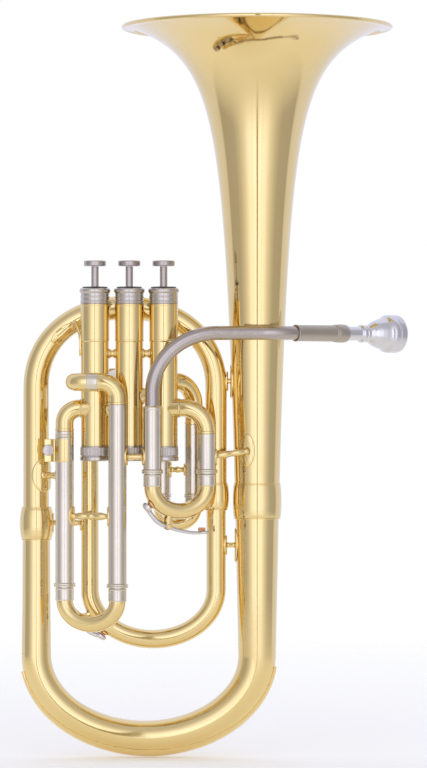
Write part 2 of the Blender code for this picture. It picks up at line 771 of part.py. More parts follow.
def make_valve_top(number):
    """Top cap, stem and finger button."""
    axis = valve_axis(number)
    cap = [(3.5, TOP_CAP_HIGH), (10.9, TOP_CAP_HIGH), (CAP_R, 352.4), (CAP_R, 349.6)]
    cap += [(10.9, 348.9), (11.0, CAP_SEAT_HIGH + GAP)]
    cap += [(CAP_INNER_R, CAP_SEAT_HIGH + GAP), (CAP_INNER_R, TOP_CAP_CEILING)]
    cap += [(3.5, TOP_CAP_CEILING)]
    part(turned(f"valve_{number}_top_cap", cap, axis, UP, 16), "nickel_silver")
    low = axis + UP * (BARREL_HIGH + GAP)
    high = axis + UP * (BUTTON_LOW - GAP)
    part(cylinder(f"valve_{number}_stem", low, high, STEM_R, 12), "nickel_silver")
    button = [(0, BUTTON_HIGH - 0.9), (7.0, BUTTON_HIGH)]
    button += [(BUTTON_R, BUTTON_HIGH - 0.7), (BUTTON_R, BUTTON_LOW + 0.7)]
    button += [(BUTTON_R - 0.8, BUTTON_LOW), (0, BUTTON_LOW)]
    part(turned(f"valve_{number}_button", button, axis, UP, 14), "nickel_silver")


def make_bottom_cap(number):
    cap = [(10.95, CAP_SEAT_LOW - GAP), (10.95, 227.1), (11.3, 226.8), (11.3, 224.0)]
    cap += [(10.8, BOTTOM_CAP_LOW), (1.5, BOTTOM_CAP_LOW), (1.5, BOTTOM_CAP_FLOOR)]
    cap += [(CAP_INNER_R, BOTTOM_CAP_FLOOR), (CAP_INNER_R, CAP_SEAT_LOW - GAP)]
    name = f"valve_{number}_bottom_cap"
    part(turned(name, cap, valve_axis(number), UP, 16), "nickel_silver")


def make_valves():
    first_low = flat_way(valve_axis(1), FIRST_LEGS[0])
    first_high = flat_way(valve_axis(1), FIRST_LEGS[1])
    small_bow = flat_way(valve_axis(3), Vector((SMALL_CENTRE.x - SMALL_HALF_WIDTH, 0, 0)))
    casing_ports = {
        1: [
            (RIGHT, INLET_Z, INLET_Y - VALVE_Y),
            (LEFT, FIRST_CROSSOVER_Z, 0),
            (first_high, FIRST_UPPER_Z, 0),
            (first_low, FIRST_LOWER_Z, 0),
        ],
        2: [
            (SECOND_WAY, SECOND_UPPER_Z, 0),
            (SECOND_WAY, SECOND_LOWER_Z, 0),
        ],
        3: [
            (RIGHT, SECOND_CROSSOVER_Z, 0),
            (small_bow, SMALL_OUTLET_Z, 0),
            (LEFT, THIRD_UPPER_Z, VALVE_Y - THIRD_UPPER_Y),
            (LEFT, THIRD_LOWER_Z, VALVE_Y - INLET_Y),
        ],
    }
    piston_passages = {
        1: [
            ((RIGHT, INLET_Z), (LEFT, FIRST_CROSSOVER_Z)),
            ((RIGHT, INLET_Z + STROKE), (first_high, FIRST_UPPER_Z + STROKE)),
            ((first_low, FIRST_LOWER_Z + STROKE), (LEFT, FIRST_CROSSOVER_Z + STROKE)),
        ],
        2: [
            ((RIGHT, FIRST_CROSSOVER_Z), (LEFT, SECOND_CROSSOVER_Z)),
            ((RIGHT, FIRST_CROSSOVER_Z + STROKE), (SECOND_WAY, 294.0)),
            ((SECOND_WAY, SECOND_LOWER_Z + STROKE), (LEFT, SECOND_CROSSOVER_Z + STROKE)),
        ],
        3: [
            ((RIGHT, SECOND_CROSSOVER_Z), (small_bow, SMALL_OUTLET_Z)),
            ((RIGHT, SECOND_CROSSOVER_Z + STROKE), (LEFT, 291.0)),
            ((LEFT, THIRD_LOWER_Z + STROKE), (small_bow, SMALL_OUTLET_Z + STROKE)),
        ],
    }
    for number in (1, 2, 3):
        make_casing(number, casing_ports[number])
        make_piston(number, piston_passages[number])
        make_guide(number)
        make_spring(number)
        make_valve_top(number)
        make_bottom_cap(number)


# Braces


def tube_room(name, point, way, radius):
    """What a brace must leave free for the tube that it stands on."""
    return cylinder(name, point - way * 30, point + way * 30, radius + GAP + 0.1, 24)


def brace(name, start, end, foot_r=4.2, ball_r=2.7):
    """A turned strut between two tubes, with a flange at each end and a ball in the middle.

    Each end is (a point on the tube's axis, the tube's radius, the tube's direction, the point that
    the strut's line aims at). The aim point is the axis point itself, or a point on the tube's skin.
    """
    (from_tube, from_r, from_way, from_aim), (to_tube, to_r, to_way, to_aim) = start, end
    line = to_aim - from_aim
    way = line.normalized()
    low = from_r if from_aim == from_tube else 0.0
    high = line.length - (to_r if to_aim == to_tube else 0.0)
    sink = 2.0
    neck = min(2.3, (high - low) / 3)
    middle = (low + high) / 2
    profile = [(0, high + sink), (foot_r, high + sink), (foot_r, high - neck / 2)]
    profile += [(1.9, high - neck), (1.7, middle + 1.4), (ball_r, middle), (1.7, middle - 1.4)]
    profile += [(1.9, low + neck), (foot_r, low + neck / 2), (foot_r, low - sink), (0, low - sink)]
    if high - low < 7:
        del profile[4:7]
    item = turned(name, profile, from_aim, way, 10)
    cut(item, tube_room(name + "_start", from_tube, from_way, from_r))
    cut(item, tube_room(name + "_end", to_tube, to_way, to_r))
    return part(item, "lacquered_brass")


def leg_end(leg, height, radius=SOCKET_R):
    point = Vector((leg.x, leg.y, height))
    return (point, radius, UP, point)


def make_braces():
    left_leg = Vector((LEFT_LEG_X, 0, 0))
    right_leg = Vector((RIGHT_LEG_X, 0, 0))
    bell_axis = Vector((BELL_X, 0, 0))
    small_left = Vector((SMALL_CENTRE.x - SMALL_HALF_WIDTH, 0, 0))
    brace("brace_third_slide", leg_end(THIRD_LEGS[0], 182.5), leg_end(THIRD_LEGS[1], 182.5))
    brace("brace_third_to_tuning", leg_end(THIRD_LEGS[1], 227), leg_end(TUNING_LEGS[0], 227))
    brace("brace_first_slide", leg_end(FIRST_LEGS[0], 216.6), leg_end(FIRST_LEGS[1], 216.6))
    brace("brace_left_leg", leg_end(left_leg, 212.5, 10.15), leg_end(THIRD_LEGS[0], 212.5))
    brace("brace_left_ferrule", leg_end(left_leg, 176.5, 12.5), leg_end(small_left, 176.5, 6.6))
    upper = leg_end(bell_axis, 283.4, bell_radius(283.4))
    brace("brace_bell_upper", leg_end(right_leg, 283.4, 8.15), upper)
    lower = leg_end(bell_axis, 159.7, 16.1)
    brace("brace_bell_lower", leg_end(right_leg, 159.7, 7.35), lower)
    aim = Vector((76.1, -16.6, 230.8))
    level = bell_axis + UP * 230.8
    bell_end = (level, bell_radius(238.0), UP, aim)
    brace("brace_tuning_to_bell", leg_end(TUNING_LEGS[1], 226.5), bell_end, 4.6)
    on_bow = top_bow_point(TOP_BRACE_ANGLE)
    tangent = (top_bow_point(TOP_BRACE_ANGLE + 2) - top_bow_point(TOP_BRACE_ANGLE - 2)).normalized()
    bow_end = (on_bow, 9.9, tangent, on_bow)
    casing_end = leg_end(valve_axis(3), 316, UPPER_CASING_R)
    brace("brace_valve_to_top_bow", casing_end, bow_end, 4.0)


# Lyre holder


def make_lyre_holder():
    leg = THIRD_LEGS[0]
    profile = [(8.1, LYRE_HIGH), (8.1, LYRE_LOW), (7.25, LYRE_LOW), (7.25, LYRE_HIGH)]
    holder = turned("lyre_holder", profile, leg, UP, 20)
    centre = Vector((sum(LYRE_BOX_X) / 2, leg.y, (LYRE_LOW + LYRE_HIGH) / 2))
    height = LYRE_HIGH - LYRE_LOW
    size = (LYRE_BOX_X[1] - LYRE_BOX_X[0], 2 * LYRE_BOX_HALF_Y, height - 0.4)
    join(holder, box("lyre_box", centre, size))
    room_end = leg + UP * (LYRE_HIGH + 5)
    cut(holder, cylinder("lyre_room", leg + UP * (LYRE_LOW - 5), room_end, 7.2, 20))
    hole = Vector((LYRE_HOLE_X, leg.y, centre.z))
    cut(holder, box("lyre_hole", hole, (LYRE_HOLE, LYRE_HOLE, height + 10)))
    screw = Vector((LYRE_HOLE_X, leg.y, LYRE_SCREW_Z))
    cut(holder, cylinder("lyre_tap", screw, screw + FRONT * 12, 1.7, 12))
    part(holder, "lacquered_brass")
    head_start = LYRE_BOX_HALF_Y + 2.2
    knob = [(0, head_start + 3.2), (3.6, head_start + 3.2), (4.25, head_start + 2.6)]
    knob += [(4.25, head_start + 0.6), (3.6, head_start), (1.4, head_start)]
    knob += [(1.4, LYRE_HOLE / 2 + 0.1), (0, LYRE_HOLE / 2 + 0.1)]
    part(turned("lyre_screw", knob, screw, FRONT, 12), "silver_plate")


# Water keys


def in_plane(origin, across, at):
    """The point (distance, height) of a key's own plane."""
    return origin + across * at[0] + UP * at[1]


def add_key_seat(target, prefix, origin, across, pivot, tube_centre, nipple, bore_centre, tube_r):
    """Joins two ears with a pin, and a drain nipple, to the tube that a water key serves."""
    side = across.cross(UP).normalized()
    hinge = in_plane(origin, across, pivot)
    centre = in_plane(origin, across, tube_centre)
    inwards = (centre - hinge).normalized()
    reach = (centre - hinge).length - tube_r + 2.0
    offset = KEY_BARREL_HALF + GAP + KEY_EAR / 2
    turn = Matrix((side, inwards.cross(side), inwards)).transposed()
    for i, sign in enumerate((-1, 1)):
        middle = hinge + side * sign * offset + inwards * (reach - 2.2) / 2
        join(target, box(f"{prefix}_ear_{i}", middle, (KEY_EAR, 4.4, reach + 2.2), turn))
    pin = side * (offset + KEY_EAR / 2 + 0.4)
    join(target, cylinder(prefix + "_pin", hinge - pin, hinge + pin, KEY_PIN_R, 8))
    mouth = in_plane(origin, across, nipple)
    core = in_plane(origin, across, bore_centre)
    outwards = (mouth - core).normalized()
    root = core + outwards * (tube_r - 1.3)
    join(target, cylinder(prefix + "_nipple", root, mouth, 2.6, 12))
    cut(target, cylinder(prefix + "_drain", core, mouth + outwards * 2, 1.4, 8))


def water_key(name, origin, across, pivot, path, nipple, bore_centre):
    """A lever on a barrel: a cup over the nipple at one end and a finger pad at the other."""
    side = across.cross(UP).normalized()
    hinge = in_plane(origin, across, pivot)
    points = [in_plane(origin, across, at) for at in path]
    lever = rod(name, points, [KEY_ROD_R] * len(points), 8)
    half = side * KEY_BARREL_HALF
    join(lever, cylinder(name + "_barrel", hinge - half, hinge + half, KEY_BARREL_R, 12))
    mouth = in_plane(origin, across, nipple)
    outwards = (mouth - in_plane(origin, across, bore_centre)).normalized()
    cup = [(0, 3.8), (3.0, 3.8), (3.7, 3.0), (3.7, 0.4), (0, 0.4)]
    join(lever, turned(name + "_cup", cup, mouth, outwards, 12))
    finger = [(0, 1.1), (4.0, 1.1), (4.4, 0), (4.0, -1.1), (0, -1.1)]
    tip = points[-1]
    press = (points[-1] - points[-2]).normalized().cross(side)
    join(lever, turned(name + "_finger", finger, tip, press, 12))
    pin = side * (KEY_BARREL_HALF + 2)
    cut(lever, cylinder(name + "_pin_hole", hinge - pin, hinge + pin, KEY_PIN_HOLE_R, 8))
    set_origin(part(lever, "silver_plate"), hinge)


def bow_point(centre, half_width, depth, angle):
    """A point (distance, height) on a half ellipse, and its outward direction."""
    turn = math.radians(angle)
    at = (centre[0] - half_width * math.cos(turn), centre[1] - depth * math.sin(turn))
    normal = Vector((-math.cos(turn) / half_width, -math.sin(turn) / depth)).normalized()
    return at, normal


def make_tuning_key(slide):
    left, right = TUNING_LEGS
    across = (right - left).normalized()
    half = (right - left).length / 2
    centre = (half, TUNING_BOW_Z)
    core, out = bow_point(centre, half, TUNING_BOW_DEPTH, 33)
    nipple = (core[0] + out.x * 7.6, core[1] + out.y * 7.6)
    near, _ = bow_point(centre, half, TUNING_BOW_DEPTH, 66)
    pivot = (12.1, 175.0)
    cup_back = (nipple[0] + out.x * 2.6, nipple[1] + out.y * 2.6)
    path = [cup_back, (2.6, 180.2), (7.5, 176.6), pivot, (20, 172.2), (32, 170.0), (41, 170.2)]
    add_key_seat(slide, "tuning_key", left, across, pivot, near, nipple, core, SLIDE_R)
    water_key("tuning_water_key", left, across, pivot, path, nipple, core)


def make_bow_key(bow):
    centre = (SMALL_CENTRE.x, SMALL_CENTRE.z)
    core, out = bow_point(centre, SMALL_HALF_WIDTH, SMALL_DEPTH, 46)
    nipple = (core[0] + out.x * 8.2, core[1] + out.y * 8.2)
    near, _ = bow_point(centre, SMALL_HALF_WIDTH, SMALL_DEPTH, 28)
    pivot = (-50.5, 104.8)
    cup_back = (nipple[0] + out.x * 2.6, nipple[1] + out.y * 2.6)
    path = [cup_back, (-42.5, 94.2), (-47.5, 99.8), pivot, (-55.5, 110), (-59.6, 119)]
    add_key_seat(bow, "bow_key", Vector(), RIGHT, pivot, near, nipple, core, 6.75)
    water_key("bow_water_key", Vector(), RIGHT, pivot, path, nipple, core)


def main():
    make_bell()
    make_bottom_bow()
    make_bow_guard()
    make_top_bow()
    small_bow = make_small_bow()
    make_bow_key(small_bow)
    part(small_bow, "lacquered_brass")
    make_tuning_key(make_tuning())
    make_third()
    make_first()
    make_second()
    make_mouthpiece(*make_leadpipe())
    make_valves()
    make_braces()
    make_lyre_holder()


main()
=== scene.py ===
"""The looks of the baritone horn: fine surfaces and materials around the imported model.

Lengths are in millimetres until MM turns them into metres. Places come from the frame's boxes.
"""

import math

import bmesh
import bpy
from mathutils import Matrix, Vector


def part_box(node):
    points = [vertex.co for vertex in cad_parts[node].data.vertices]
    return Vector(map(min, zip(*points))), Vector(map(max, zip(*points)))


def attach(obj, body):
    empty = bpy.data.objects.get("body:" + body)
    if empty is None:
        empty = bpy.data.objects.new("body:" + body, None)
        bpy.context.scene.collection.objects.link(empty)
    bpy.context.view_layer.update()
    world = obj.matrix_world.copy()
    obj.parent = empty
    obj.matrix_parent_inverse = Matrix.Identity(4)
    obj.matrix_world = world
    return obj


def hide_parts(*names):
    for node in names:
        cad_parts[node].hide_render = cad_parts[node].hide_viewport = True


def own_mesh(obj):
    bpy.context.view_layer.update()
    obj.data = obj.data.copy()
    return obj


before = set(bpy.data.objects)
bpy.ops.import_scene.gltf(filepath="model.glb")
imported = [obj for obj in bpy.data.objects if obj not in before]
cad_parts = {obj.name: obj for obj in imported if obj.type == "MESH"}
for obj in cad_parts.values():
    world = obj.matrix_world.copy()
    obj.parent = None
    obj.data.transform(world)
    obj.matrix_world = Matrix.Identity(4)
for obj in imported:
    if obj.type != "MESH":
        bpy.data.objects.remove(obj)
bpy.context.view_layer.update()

MM = 0.001
SHARP_EDGE = 38  # degrees
UP = Vector((0, 0, 1))
DOWN = Vector((0, 0, -1))
RIGHT = Vector((1, 0, 0))
LEFT = Vector((-1, 0, 0))
FRONT = Vector((0, -1, 0))
BACK = Vector((0, 1, 0))


# Places read from the frame, in millimetres


def low(node):
    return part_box(node)[0] / MM


def high(node):
    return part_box(node)[1] / MM


def middle(node):
    return (low(node) + high(node)) / 2


# Tube sizes
SOCKET_R = 6.85
SLIDE_R = 6.15
ELBOW_R = 6.7
RING_R = 8.1
SLIM_RING_R = 7.5
FERRULE_R = 6.75
TUBE_WALL = 0.4
BIG_WALL = 0.6
SOCKET_BORE_R = SOCKET_R - TUBE_WALL
SLIDE_BORE_R = SLIDE_R - TUBE_WALL
SOLDER_R = 0.42
CASING_R = 10.65
UPPER_CASING_R = 11.0

# Bell formula, and the joints of the big tubes
BELL_AXIS = middle("bell")
BELL_TOP = high("bell").z - 0.5
BELL_THROAT_R = 15.24
BELL_CONE_SLOPE = 0.01067
FLARE_SIZE = 2787.0
FLARE_SHIFT = 28.0
FLARE_POWER = 1.05
RIM_BEAD_R = 1.6

LEFT_LEG_X = middle("left_ferrule").x - 0.2
RIGHT_LEG_X = middle("right_ferrule").x
BOW_CENTRE_X = 0.6
BOW_HALF_WIDTH = BELL_AXIS.x - BOW_CENTRE_X
BEND_JOIN_Z = 125
BOW_CENTRE_Z = 76.6
BOW_DEPTH = 62.2
BOW_LEFT_TOP = high("bottom_bow").z - 16.85
BOW_TAPER = ((0, 10.3), (60, 10.6), (345, 14.5), (447, 16.75))
GUARD_PROUD = 1.5
GUARD_CUT_X = 2.1
GUARD_CUT_HALF_WIDTH = 96.5
GUARD_TOPS = (68.0, 71.0)  # on the left and on the right
GUARD_CUT_DEPTH = 71.6

TOP_HALF_WIDTH = 67.95
TOP_RISE = 60.5
TOP_SQUARENESS = 0.93  # 1 is a plain half ellipse, and less is squarer
TOP_CENTRE = Vector((RIGHT_LEG_X - TOP_HALF_WIDTH, 0, 278.2))
TOP_TAPER = ((0, 9.75), (102, 9.6), (150, 9.1), (203, 8.95), (290, 8.2), (386, 8.1))
TOP_BRACE_ANGLE = 44
SMALL_DEPTH = 37.5
SMALL_HALF_WIDTH = 47.65
SMALL_CENTRE = Vector((RIGHT_LEG_X - SMALL_HALF_WIDTH, 0, 126.1))
SMALL_TAPER = ((0, 7.35), (70, 7.3), (138, 7.0), (205, 6.6), (340, 6.4))
SMALL_OUTLET_Z = 250.0


def valve_axis(number, height=0.0):
    centre = middle(f"valve_{number}_top_cap")
    return Vector((centre.x, centre.y, height))


def level(point, height):
    return Vector((point.x, point.y, height))


def flat_way(start, end):
    """The level direction from one point to another."""
    way = end - start
    way.z = 0
    return way.normalized()


# Paths


def arc(centre, first, second, start, stop, count):
    """Points centre + first cos(angle) + second sin(angle), the angle in degrees."""
    angles = [math.radians(start + (stop - start) * i / count) for i in range(count + 1)]
    return [centre + first * math.cos(a) + second * math.sin(a) for a in angles]


def elbow(corner, along, turned_to, radius):
    """A quarter bend at a corner, coming in along one direction and leaving along another."""
    centre = corner - along * radius + turned_to * radius
    return arc(centre, turned_to * -radius, along * radius, 0, 90, 14)


def between(keys, at):
    """Smooth value between (place, value) keys."""
    for (start, first), (end, last) in zip(keys, keys[1:]):
        if at <= end:
            share = max(0.0, (at - start) / (end - start))
            return first + (last - first) * share
    return keys[-1][1]


def tapered(points, keys):
    """A radius for each point, from (distance along the path, radius) keys."""
    radii = []
    gone = 0.0
    for i, point in enumerate(points):
        gone += (point - points[i - 1]).length if i else 0.0
        radii.append(between(keys, gone))
    return radii


def divided(points, longest):
    """The same path, with no step longer than the given length."""
    fine = [points[0]]
    for start, end in zip(points, points[1:]):
        parts = max(1, math.ceil((end - start).length / longest))
        fine += [start.lerp(end, i / parts) for i in range(1, parts + 1)]
    return fine


# Mesh making


def skin(name, rings, closed):
    """A mesh through rings of points: closed into a loop of rings, or capped at both ends."""
    sides = len(rings[0])
    faces = []
    for i in range(len(rings) if closed else len(rings) - 1):
        here = i * sides
        there = (i + 1) % len(rings) * sides
        for k in range(sides):
            after = (k + 1) % sides
            faces.append((here + k, here + after, there + after, there + k))
    if not closed:
        faces.append(tuple(range(sides))[::-1])
        faces.append(tuple(range((len(rings) - 1) * sides, len(rings) * sides)))
    draft = bpy.data.meshes.new("draft")
    draft.from_pydata([point * MM for ring in rings for point in ring], [], faces)
    shape = bmesh.new()
    shape.from_mesh(draft)
    bpy.data.meshes.remove(draft)
    bmesh.ops.remove_doubles(shape, verts=shape.verts, dist=1e-7)
    bmesh.ops.recalc_face_normals(shape, faces=shape.faces)
    return shown(name, shape)


def shown(name, shape):
    """A smooth-shaded object in the scene, from a bmesh that is then freed."""
    mesh = bpy.data.meshes.new(name)
    shape.to_mesh(mesh)
    shape.free()
    mesh.shade_smooth()
    mesh.set_sharp_from_angle(angle=math.radians(SHARP_EDGE))
    item = bpy.data.objects.new(name, mesh)
    bpy.context.scene.collection.objects.link(item)
    return item


def path_frames(points):
    """A (point, side, other side) triple along the path, turning as little as possible."""
    frames = []
    side = None
    for i, point in enumerate(points):
        before = points[max(i - 1, 0)]
        after = points[min(i + 1, len(points) - 1)]
        way = (after - before).normalized()
        if side is None:
            side = way.orthogonal().normalized()
        side = (side - way * side.dot(way)).normalized()
        frames.append((point, side, way.cross(side)))
    return frames


def ring_points(point, side, other, radius, sides):
    turns = [2 * math.pi / sides * k for k in range(sides)]
    return [
        point + side * (radius * math.cos(turn)) + other * (radius * math.sin(turn))
        for turn in turns
    ]


def tube(name, path, radii, wall=TUBE_WALL, sides=48):
    """A hollow tube, with outer radii given at each point."""
    frames = path_frames(path)
    outer = [ring_points(*at, radius, sides) for at, radius in zip(frames, radii)]
    inner = [ring_points(*at, radius - wall, sides) for at, radius in zip(frames, radii)]
    return skin(name, outer + inner[::-1], closed=True)


def rod(name, path, radii, sides):
    """A solid rod."""
    frames = path_frames(path)
    rings = [ring_points(*at, radius, sides) for at, radius in zip(frames, radii)]
    return skin(name, rings, closed=False)


def rounded(profile, radius, closed):
    """The profile with each corner replaced by a small arc."""
    count = len(profile)
    made = []
    for i, (x, y) in enumerate(profile):
        if not closed and i in (0, count - 1):
            made.append((x, y))
            continue
        corner = Vector((x, y))
        before = Vector(profile[i - 1]) - corner
        after = Vector(profile[(i + 1) % count]) - corner
        reach = min(radius, before.length * 0.45, after.length * 0.45)
        start = corner + before.normalized() * reach
        end = corner + after.normalized() * reach
        for k in range(5):
            t = k / 4
            at = start * (1 - t) ** 2 + corner * 2 * t * (1 - t) + end * t**2
            made.append((at.x, at.y))
    return made


def lathe(name, profile, centre, way, edge, sides):
    """A (radius, height) profile turned about an axis, its corners rounded."""
    closed = bool(profile[0][0] or profile[-1][0])
    outline = rounded(profile, edge, closed) if edge else profile
    side = way.orthogonal().normalized()
    other = way.cross(side)
    rings = []
    for radius, height in outline:
        rings.append(ring_points(centre + way * height, side, other, max(radius, 1e-5), sides))
    return skin(name, rings, closed)


def joined(name, *items):
    """One object from several."""
    shape = bmesh.new()
    for item in items:
        item.data.transform(item.matrix_world)
        shape.from_mesh(item.data)
        bpy.data.objects.remove(item, do_unlink=True)
    return shown(name, shape)


def block(name, centre, size, turn):
    """A box with rounded edges."""
    shape = bmesh.new()
    scale = Matrix.Diagonal((*(Vector(size) * MM), 1))
    place = Matrix.Translation(centre * MM) @ turn.to_4x4() @ scale
    bmesh.ops.create_cube(shape, size=1, matrix=place)
    edges = shape.edges[:]
    bmesh.ops.bevel(
        shape, geom=edges, offset=0.35 * MM, segments=3, profile=0.5, affect="EDGES"
    )
    return shown(name, shape)


# Materials


class Tree:
    """A node tree, with short calls that add nodes to it."""

    def __init__(self, owner):
        owner.use_nodes = True
        self.nodes = owner.node_tree.nodes
        self.links = owner.node_tree.links

    def put(self, value, place):
        """Links an output to an input, or sets a plain value on it."""
        if isinstance(value, bpy.types.NodeSocket):
            self.links.new(value, place)
        else:
            place.default_value = value

    def fill(self, node, inputs):
        for name, value in inputs.items():
            self.put(value, node.inputs[name.replace("_", " ")])

    def add(self, kind, **inputs):
        node = self.nodes.new("ShaderNode" + kind)
        self.fill(node, inputs)
        return node

    def calculate(self, operation, *values):
        node = self.add("Math")
        node.operation = operation
        for value, place in zip(values, node.inputs):
            self.put(value, place)
        return node.outputs[0]

    def ramp(self, value, stops):
        node = self.add("ValToRGB", Fac=value)
        band = node.color_ramp
        for place, _ in stops[1:-1]:
            band.elements.new(place)
        for element, (place, colour) in zip(band.elements, stops):
            element.position = place
            element.color = (*colour, 1)
        return node.outputs["Color"]

    def span(self, value, start, end, first, last):
        ends = {"From_Min": start, "From_Max": end, "To_Min": first, "To_Max": last}
        return self.add("MapRange", Value=value, **ends).outputs["Result"]


class Recipe(Tree):
    """A material."""

    def __init__(self, name):
        self.material = bpy.data.materials.new(name)
        super().__init__(self.material)
        self.where = self.add("TexCoord").outputs["Object"]

    def noise(self, scale, detail):
        node = self.add("TexNoise", Scale=scale, Detail=detail, Vector=self.where)
        return node.outputs["Fac"]

    def finish(self, bump=None, **inputs):
        """The material, its shader's inputs filled; bump is (height, strength, distance)."""
        if bump:
            height, strength, distance = bump
            node = self.add("Bump", Strength=strength, Distance=distance, Height=height)
            inputs["Normal"] = node.outputs["Normal"]
        self.fill(self.nodes["Principled BSDF"], inputs)
        return self.material


def polished_metal(name, slot, light, dark, smooth, rough, coat, wave=0.06):
    """Metal with faint cloudy colour, uneven gloss and a slow wave."""
    made = Recipe(name)
    return made.finish(
        bump=(made.noise(34.0, 1.5), wave, 0.0006),
        Base_Color=made.ramp(made.noise(22.0, 3.0), ((0.35, dark), (0.68, light))),
        Roughness=made.span(made.noise(260.0, 2.0), 0.3, 0.7, smooth, rough),
        Metallic=1.0,
        Coat_Weight=coat,
        Coat_Roughness=0.04,
    )


def grainy(name, noise, stops, depth, **inputs):
    """Felt or cork: one fine noise colours the surface and lifts it."""
    made = Recipe(name)
    grains = made.noise(*noise)
    return made.finish((grains, 0.5, depth), Base_Color=made.ramp(grains, stops), **inputs)


BRASS, NICKEL, VALVE_NICKEL, BRUSHED_NICKEL, SATIN, SILVER, STEEL, LAPPED = (
    polished_metal(*metal) for metal in (
        ("lacquered_brass", "lacquered_brass",
         (0.87, 0.668, 0.30), (0.85, 0.643, 0.27), 0.05, 0.09, 0.4, 0.035),
        ("nickel_silver", "nickel_silver",
         (0.77, 0.695, 0.545), (0.72, 0.645, 0.50), 0.15, 0.22, 0.1),
        ("valve_nickel", "nickel_silver",
         (0.62, 0.56, 0.475), (0.575, 0.515, 0.43), 0.15, 0.22, 0.1),
        ("brushed_nickel", "nickel_silver",
         (0.51, 0.445, 0.38), (0.47, 0.405, 0.34), 0.16, 0.24, 0.05),
        ("satin_nickel", "nickel_silver",
         (0.50, 0.435, 0.35), (0.455, 0.39, 0.305), 0.26, 0.36, 0.0),
        ("silver_plate", "silver_plate",
         (0.76, 0.73, 0.71), (0.69, 0.665, 0.645), 0.07, 0.13, 0.1),
        ("spring_steel", "spring_steel",
         (0.50, 0.51, 0.53), (0.42, 0.43, 0.45), 0.22, 0.34, 0.0),
        ("valve_metal", "valve_metal",
         (0.58, 0.56, 0.52), (0.50, 0.48, 0.44), 0.28, 0.42, 0.0),
    )
)
FELT = grainy(
    "felt", (2600.0, 4.0), ((0.3, (0.02, 0.02, 0.023)), (0.7, (0.07, 0.07, 0.075))), 0.0004,
    Roughness=0.95, Sheen_Weight=0.4,
)
CORK_COLOURS = ((0.3, (0.52, 0.19, 0.07)), (0.5, (0.74, 0.32, 0.13)), (0.7, (0.84, 0.46, 0.24)))
CORK = grainy("cork", (900.0, 5.0), CORK_COLOURS, 0.0003, Roughness=0.85)


def piece(item, material, body="root", node=None):
    """Gives a piece its material and body, and hides the CAD node that it stands for."""
    item.data.materials.clear()
    item.data.materials.append(material)
    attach(item, body)
    if node:
        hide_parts(node)
    return item


# Bell and big tubes


def bell_radius(height):
    drop = BELL_TOP - height
    flare = FLARE_SIZE / (drop + FLARE_SHIFT) ** FLARE_POWER
    return BELL_THROAT_R - BELL_CONE_SLOPE * drop + flare


def bell_lining(height, wall):
    """The point that lies a wall's thickness inside the bell's outer skin."""
    step = 0.01
    slope = (bell_radius(height + step) - bell_radius(height - step)) / (2 * step)
    size = math.hypot(1, slope)
    return (bell_radius(height) - wall / size, height + wall * slope / size)


def make_bell():
    """The flare and cone as one skin, and a wire-filled bead rolled round its rim."""
    joint = low("bell").z
    depth = BELL_TOP - 2.0 - joint
    steps = 110
    heights = [BELL_TOP - 2.0 - depth * (i / steps) ** 2 for i in range(steps + 1)]
    outside = [(bell_radius(height), height) for height in heights]
    inside = [bell_lining(height, BIG_WALL) for height in heights]
    bead = bell_radius(BELL_TOP) + 1.2
    lip = [(bead - 2.6, BELL_TOP + 0.5), (bead - 0.2, BELL_TOP + 0.5)]
    for i in range(1, 12):
        angle = math.radians(78 - 20 * i)
        lip.append((bead + RIM_BEAD_R * math.cos(angle), BELL_TOP - 1.1 + 1.6 * math.sin(angle)))
    centre = Vector((BELL_AXIS.x, 0, 0))
    bell = lathe("bell_flare_and_cone", lip + outside + inside[::-1], centre, UP, 0, 160)
    piece(bell, BRASS, node="bell")


def sleeve(name, node, inner, end_r, bulge):
    """A barrel-shaped ferrule with a fine bead and a scored line at each end."""
    bottom = low(node).z
    top = high(node).z
    end = [(end_r - 0.1, 0), (end_r, 0.2), (end_r, 0.7), (end_r - 0.3, 0.85), (end_r - 0.3, 1.05)]
    profile = [(inner, top)] + [(radius, top - depth) for radius, depth in end]
    steps = 16
    for i in range(steps + 1):
        share = i / steps
        swell = math.sin(math.pi * share) ** 0.7 if 0 < share < 1 else 0
        height = top - 1.2 - (top - bottom - 2.4) * share
        profile.append((end_r + (bulge - end_r) * swell, height))
    profile += [(radius, bottom + depth) for radius, depth in end[::-1]] + [(inner, bottom)]
    piece(lathe(name, profile, level(middle(node), 0), UP, 0.12, 96), BRASS, node=node)


def bow_path(left_top, right_top, count=72):
    centre = Vector((BOW_CENTRE_X, 0, BOW_CENTRE_Z))
    bend = arc(centre, LEFT * BOW_HALF_WIDTH, DOWN * BOW_DEPTH, 0, 180, count)
    left = [Vector((LEFT_LEG_X, 0, left_top)), Vector((LEFT_LEG_X, 0, BEND_JOIN_Z))]
    right = [Vector((BELL_AXIS.x, 0, BEND_JOIN_Z)), Vector((BELL_AXIS.x, 0, right_top))]
    return divided(left + bend + right, 12)


def make_bottom_bow():
    path = bow_path(BOW_LEFT_TOP, high("bottom_bow").z)
    pipe = tube("bottom_bow_tube", path, tapered(path, BOW_TAPER), BIG_WALL, 80)
    piece(pipe, BRASS, node="bottom_bow")


def guard_angle(point, out, radius):
    """Half the angle that the guard wraps at a place, from where its edge ellipse crosses."""
    for i in range(60):
        reach = radius * i / 60
        at = point + out * reach
        x = (at.x - GUARD_CUT_X) / GUARD_CUT_HALF_WIDTH
        z = (at.z - BOW_CENTRE_Z) / GUARD_CUT_DEPTH
        if math.hypot(x, z) > 1:
            return math.acos(reach / radius)
    return 0.0


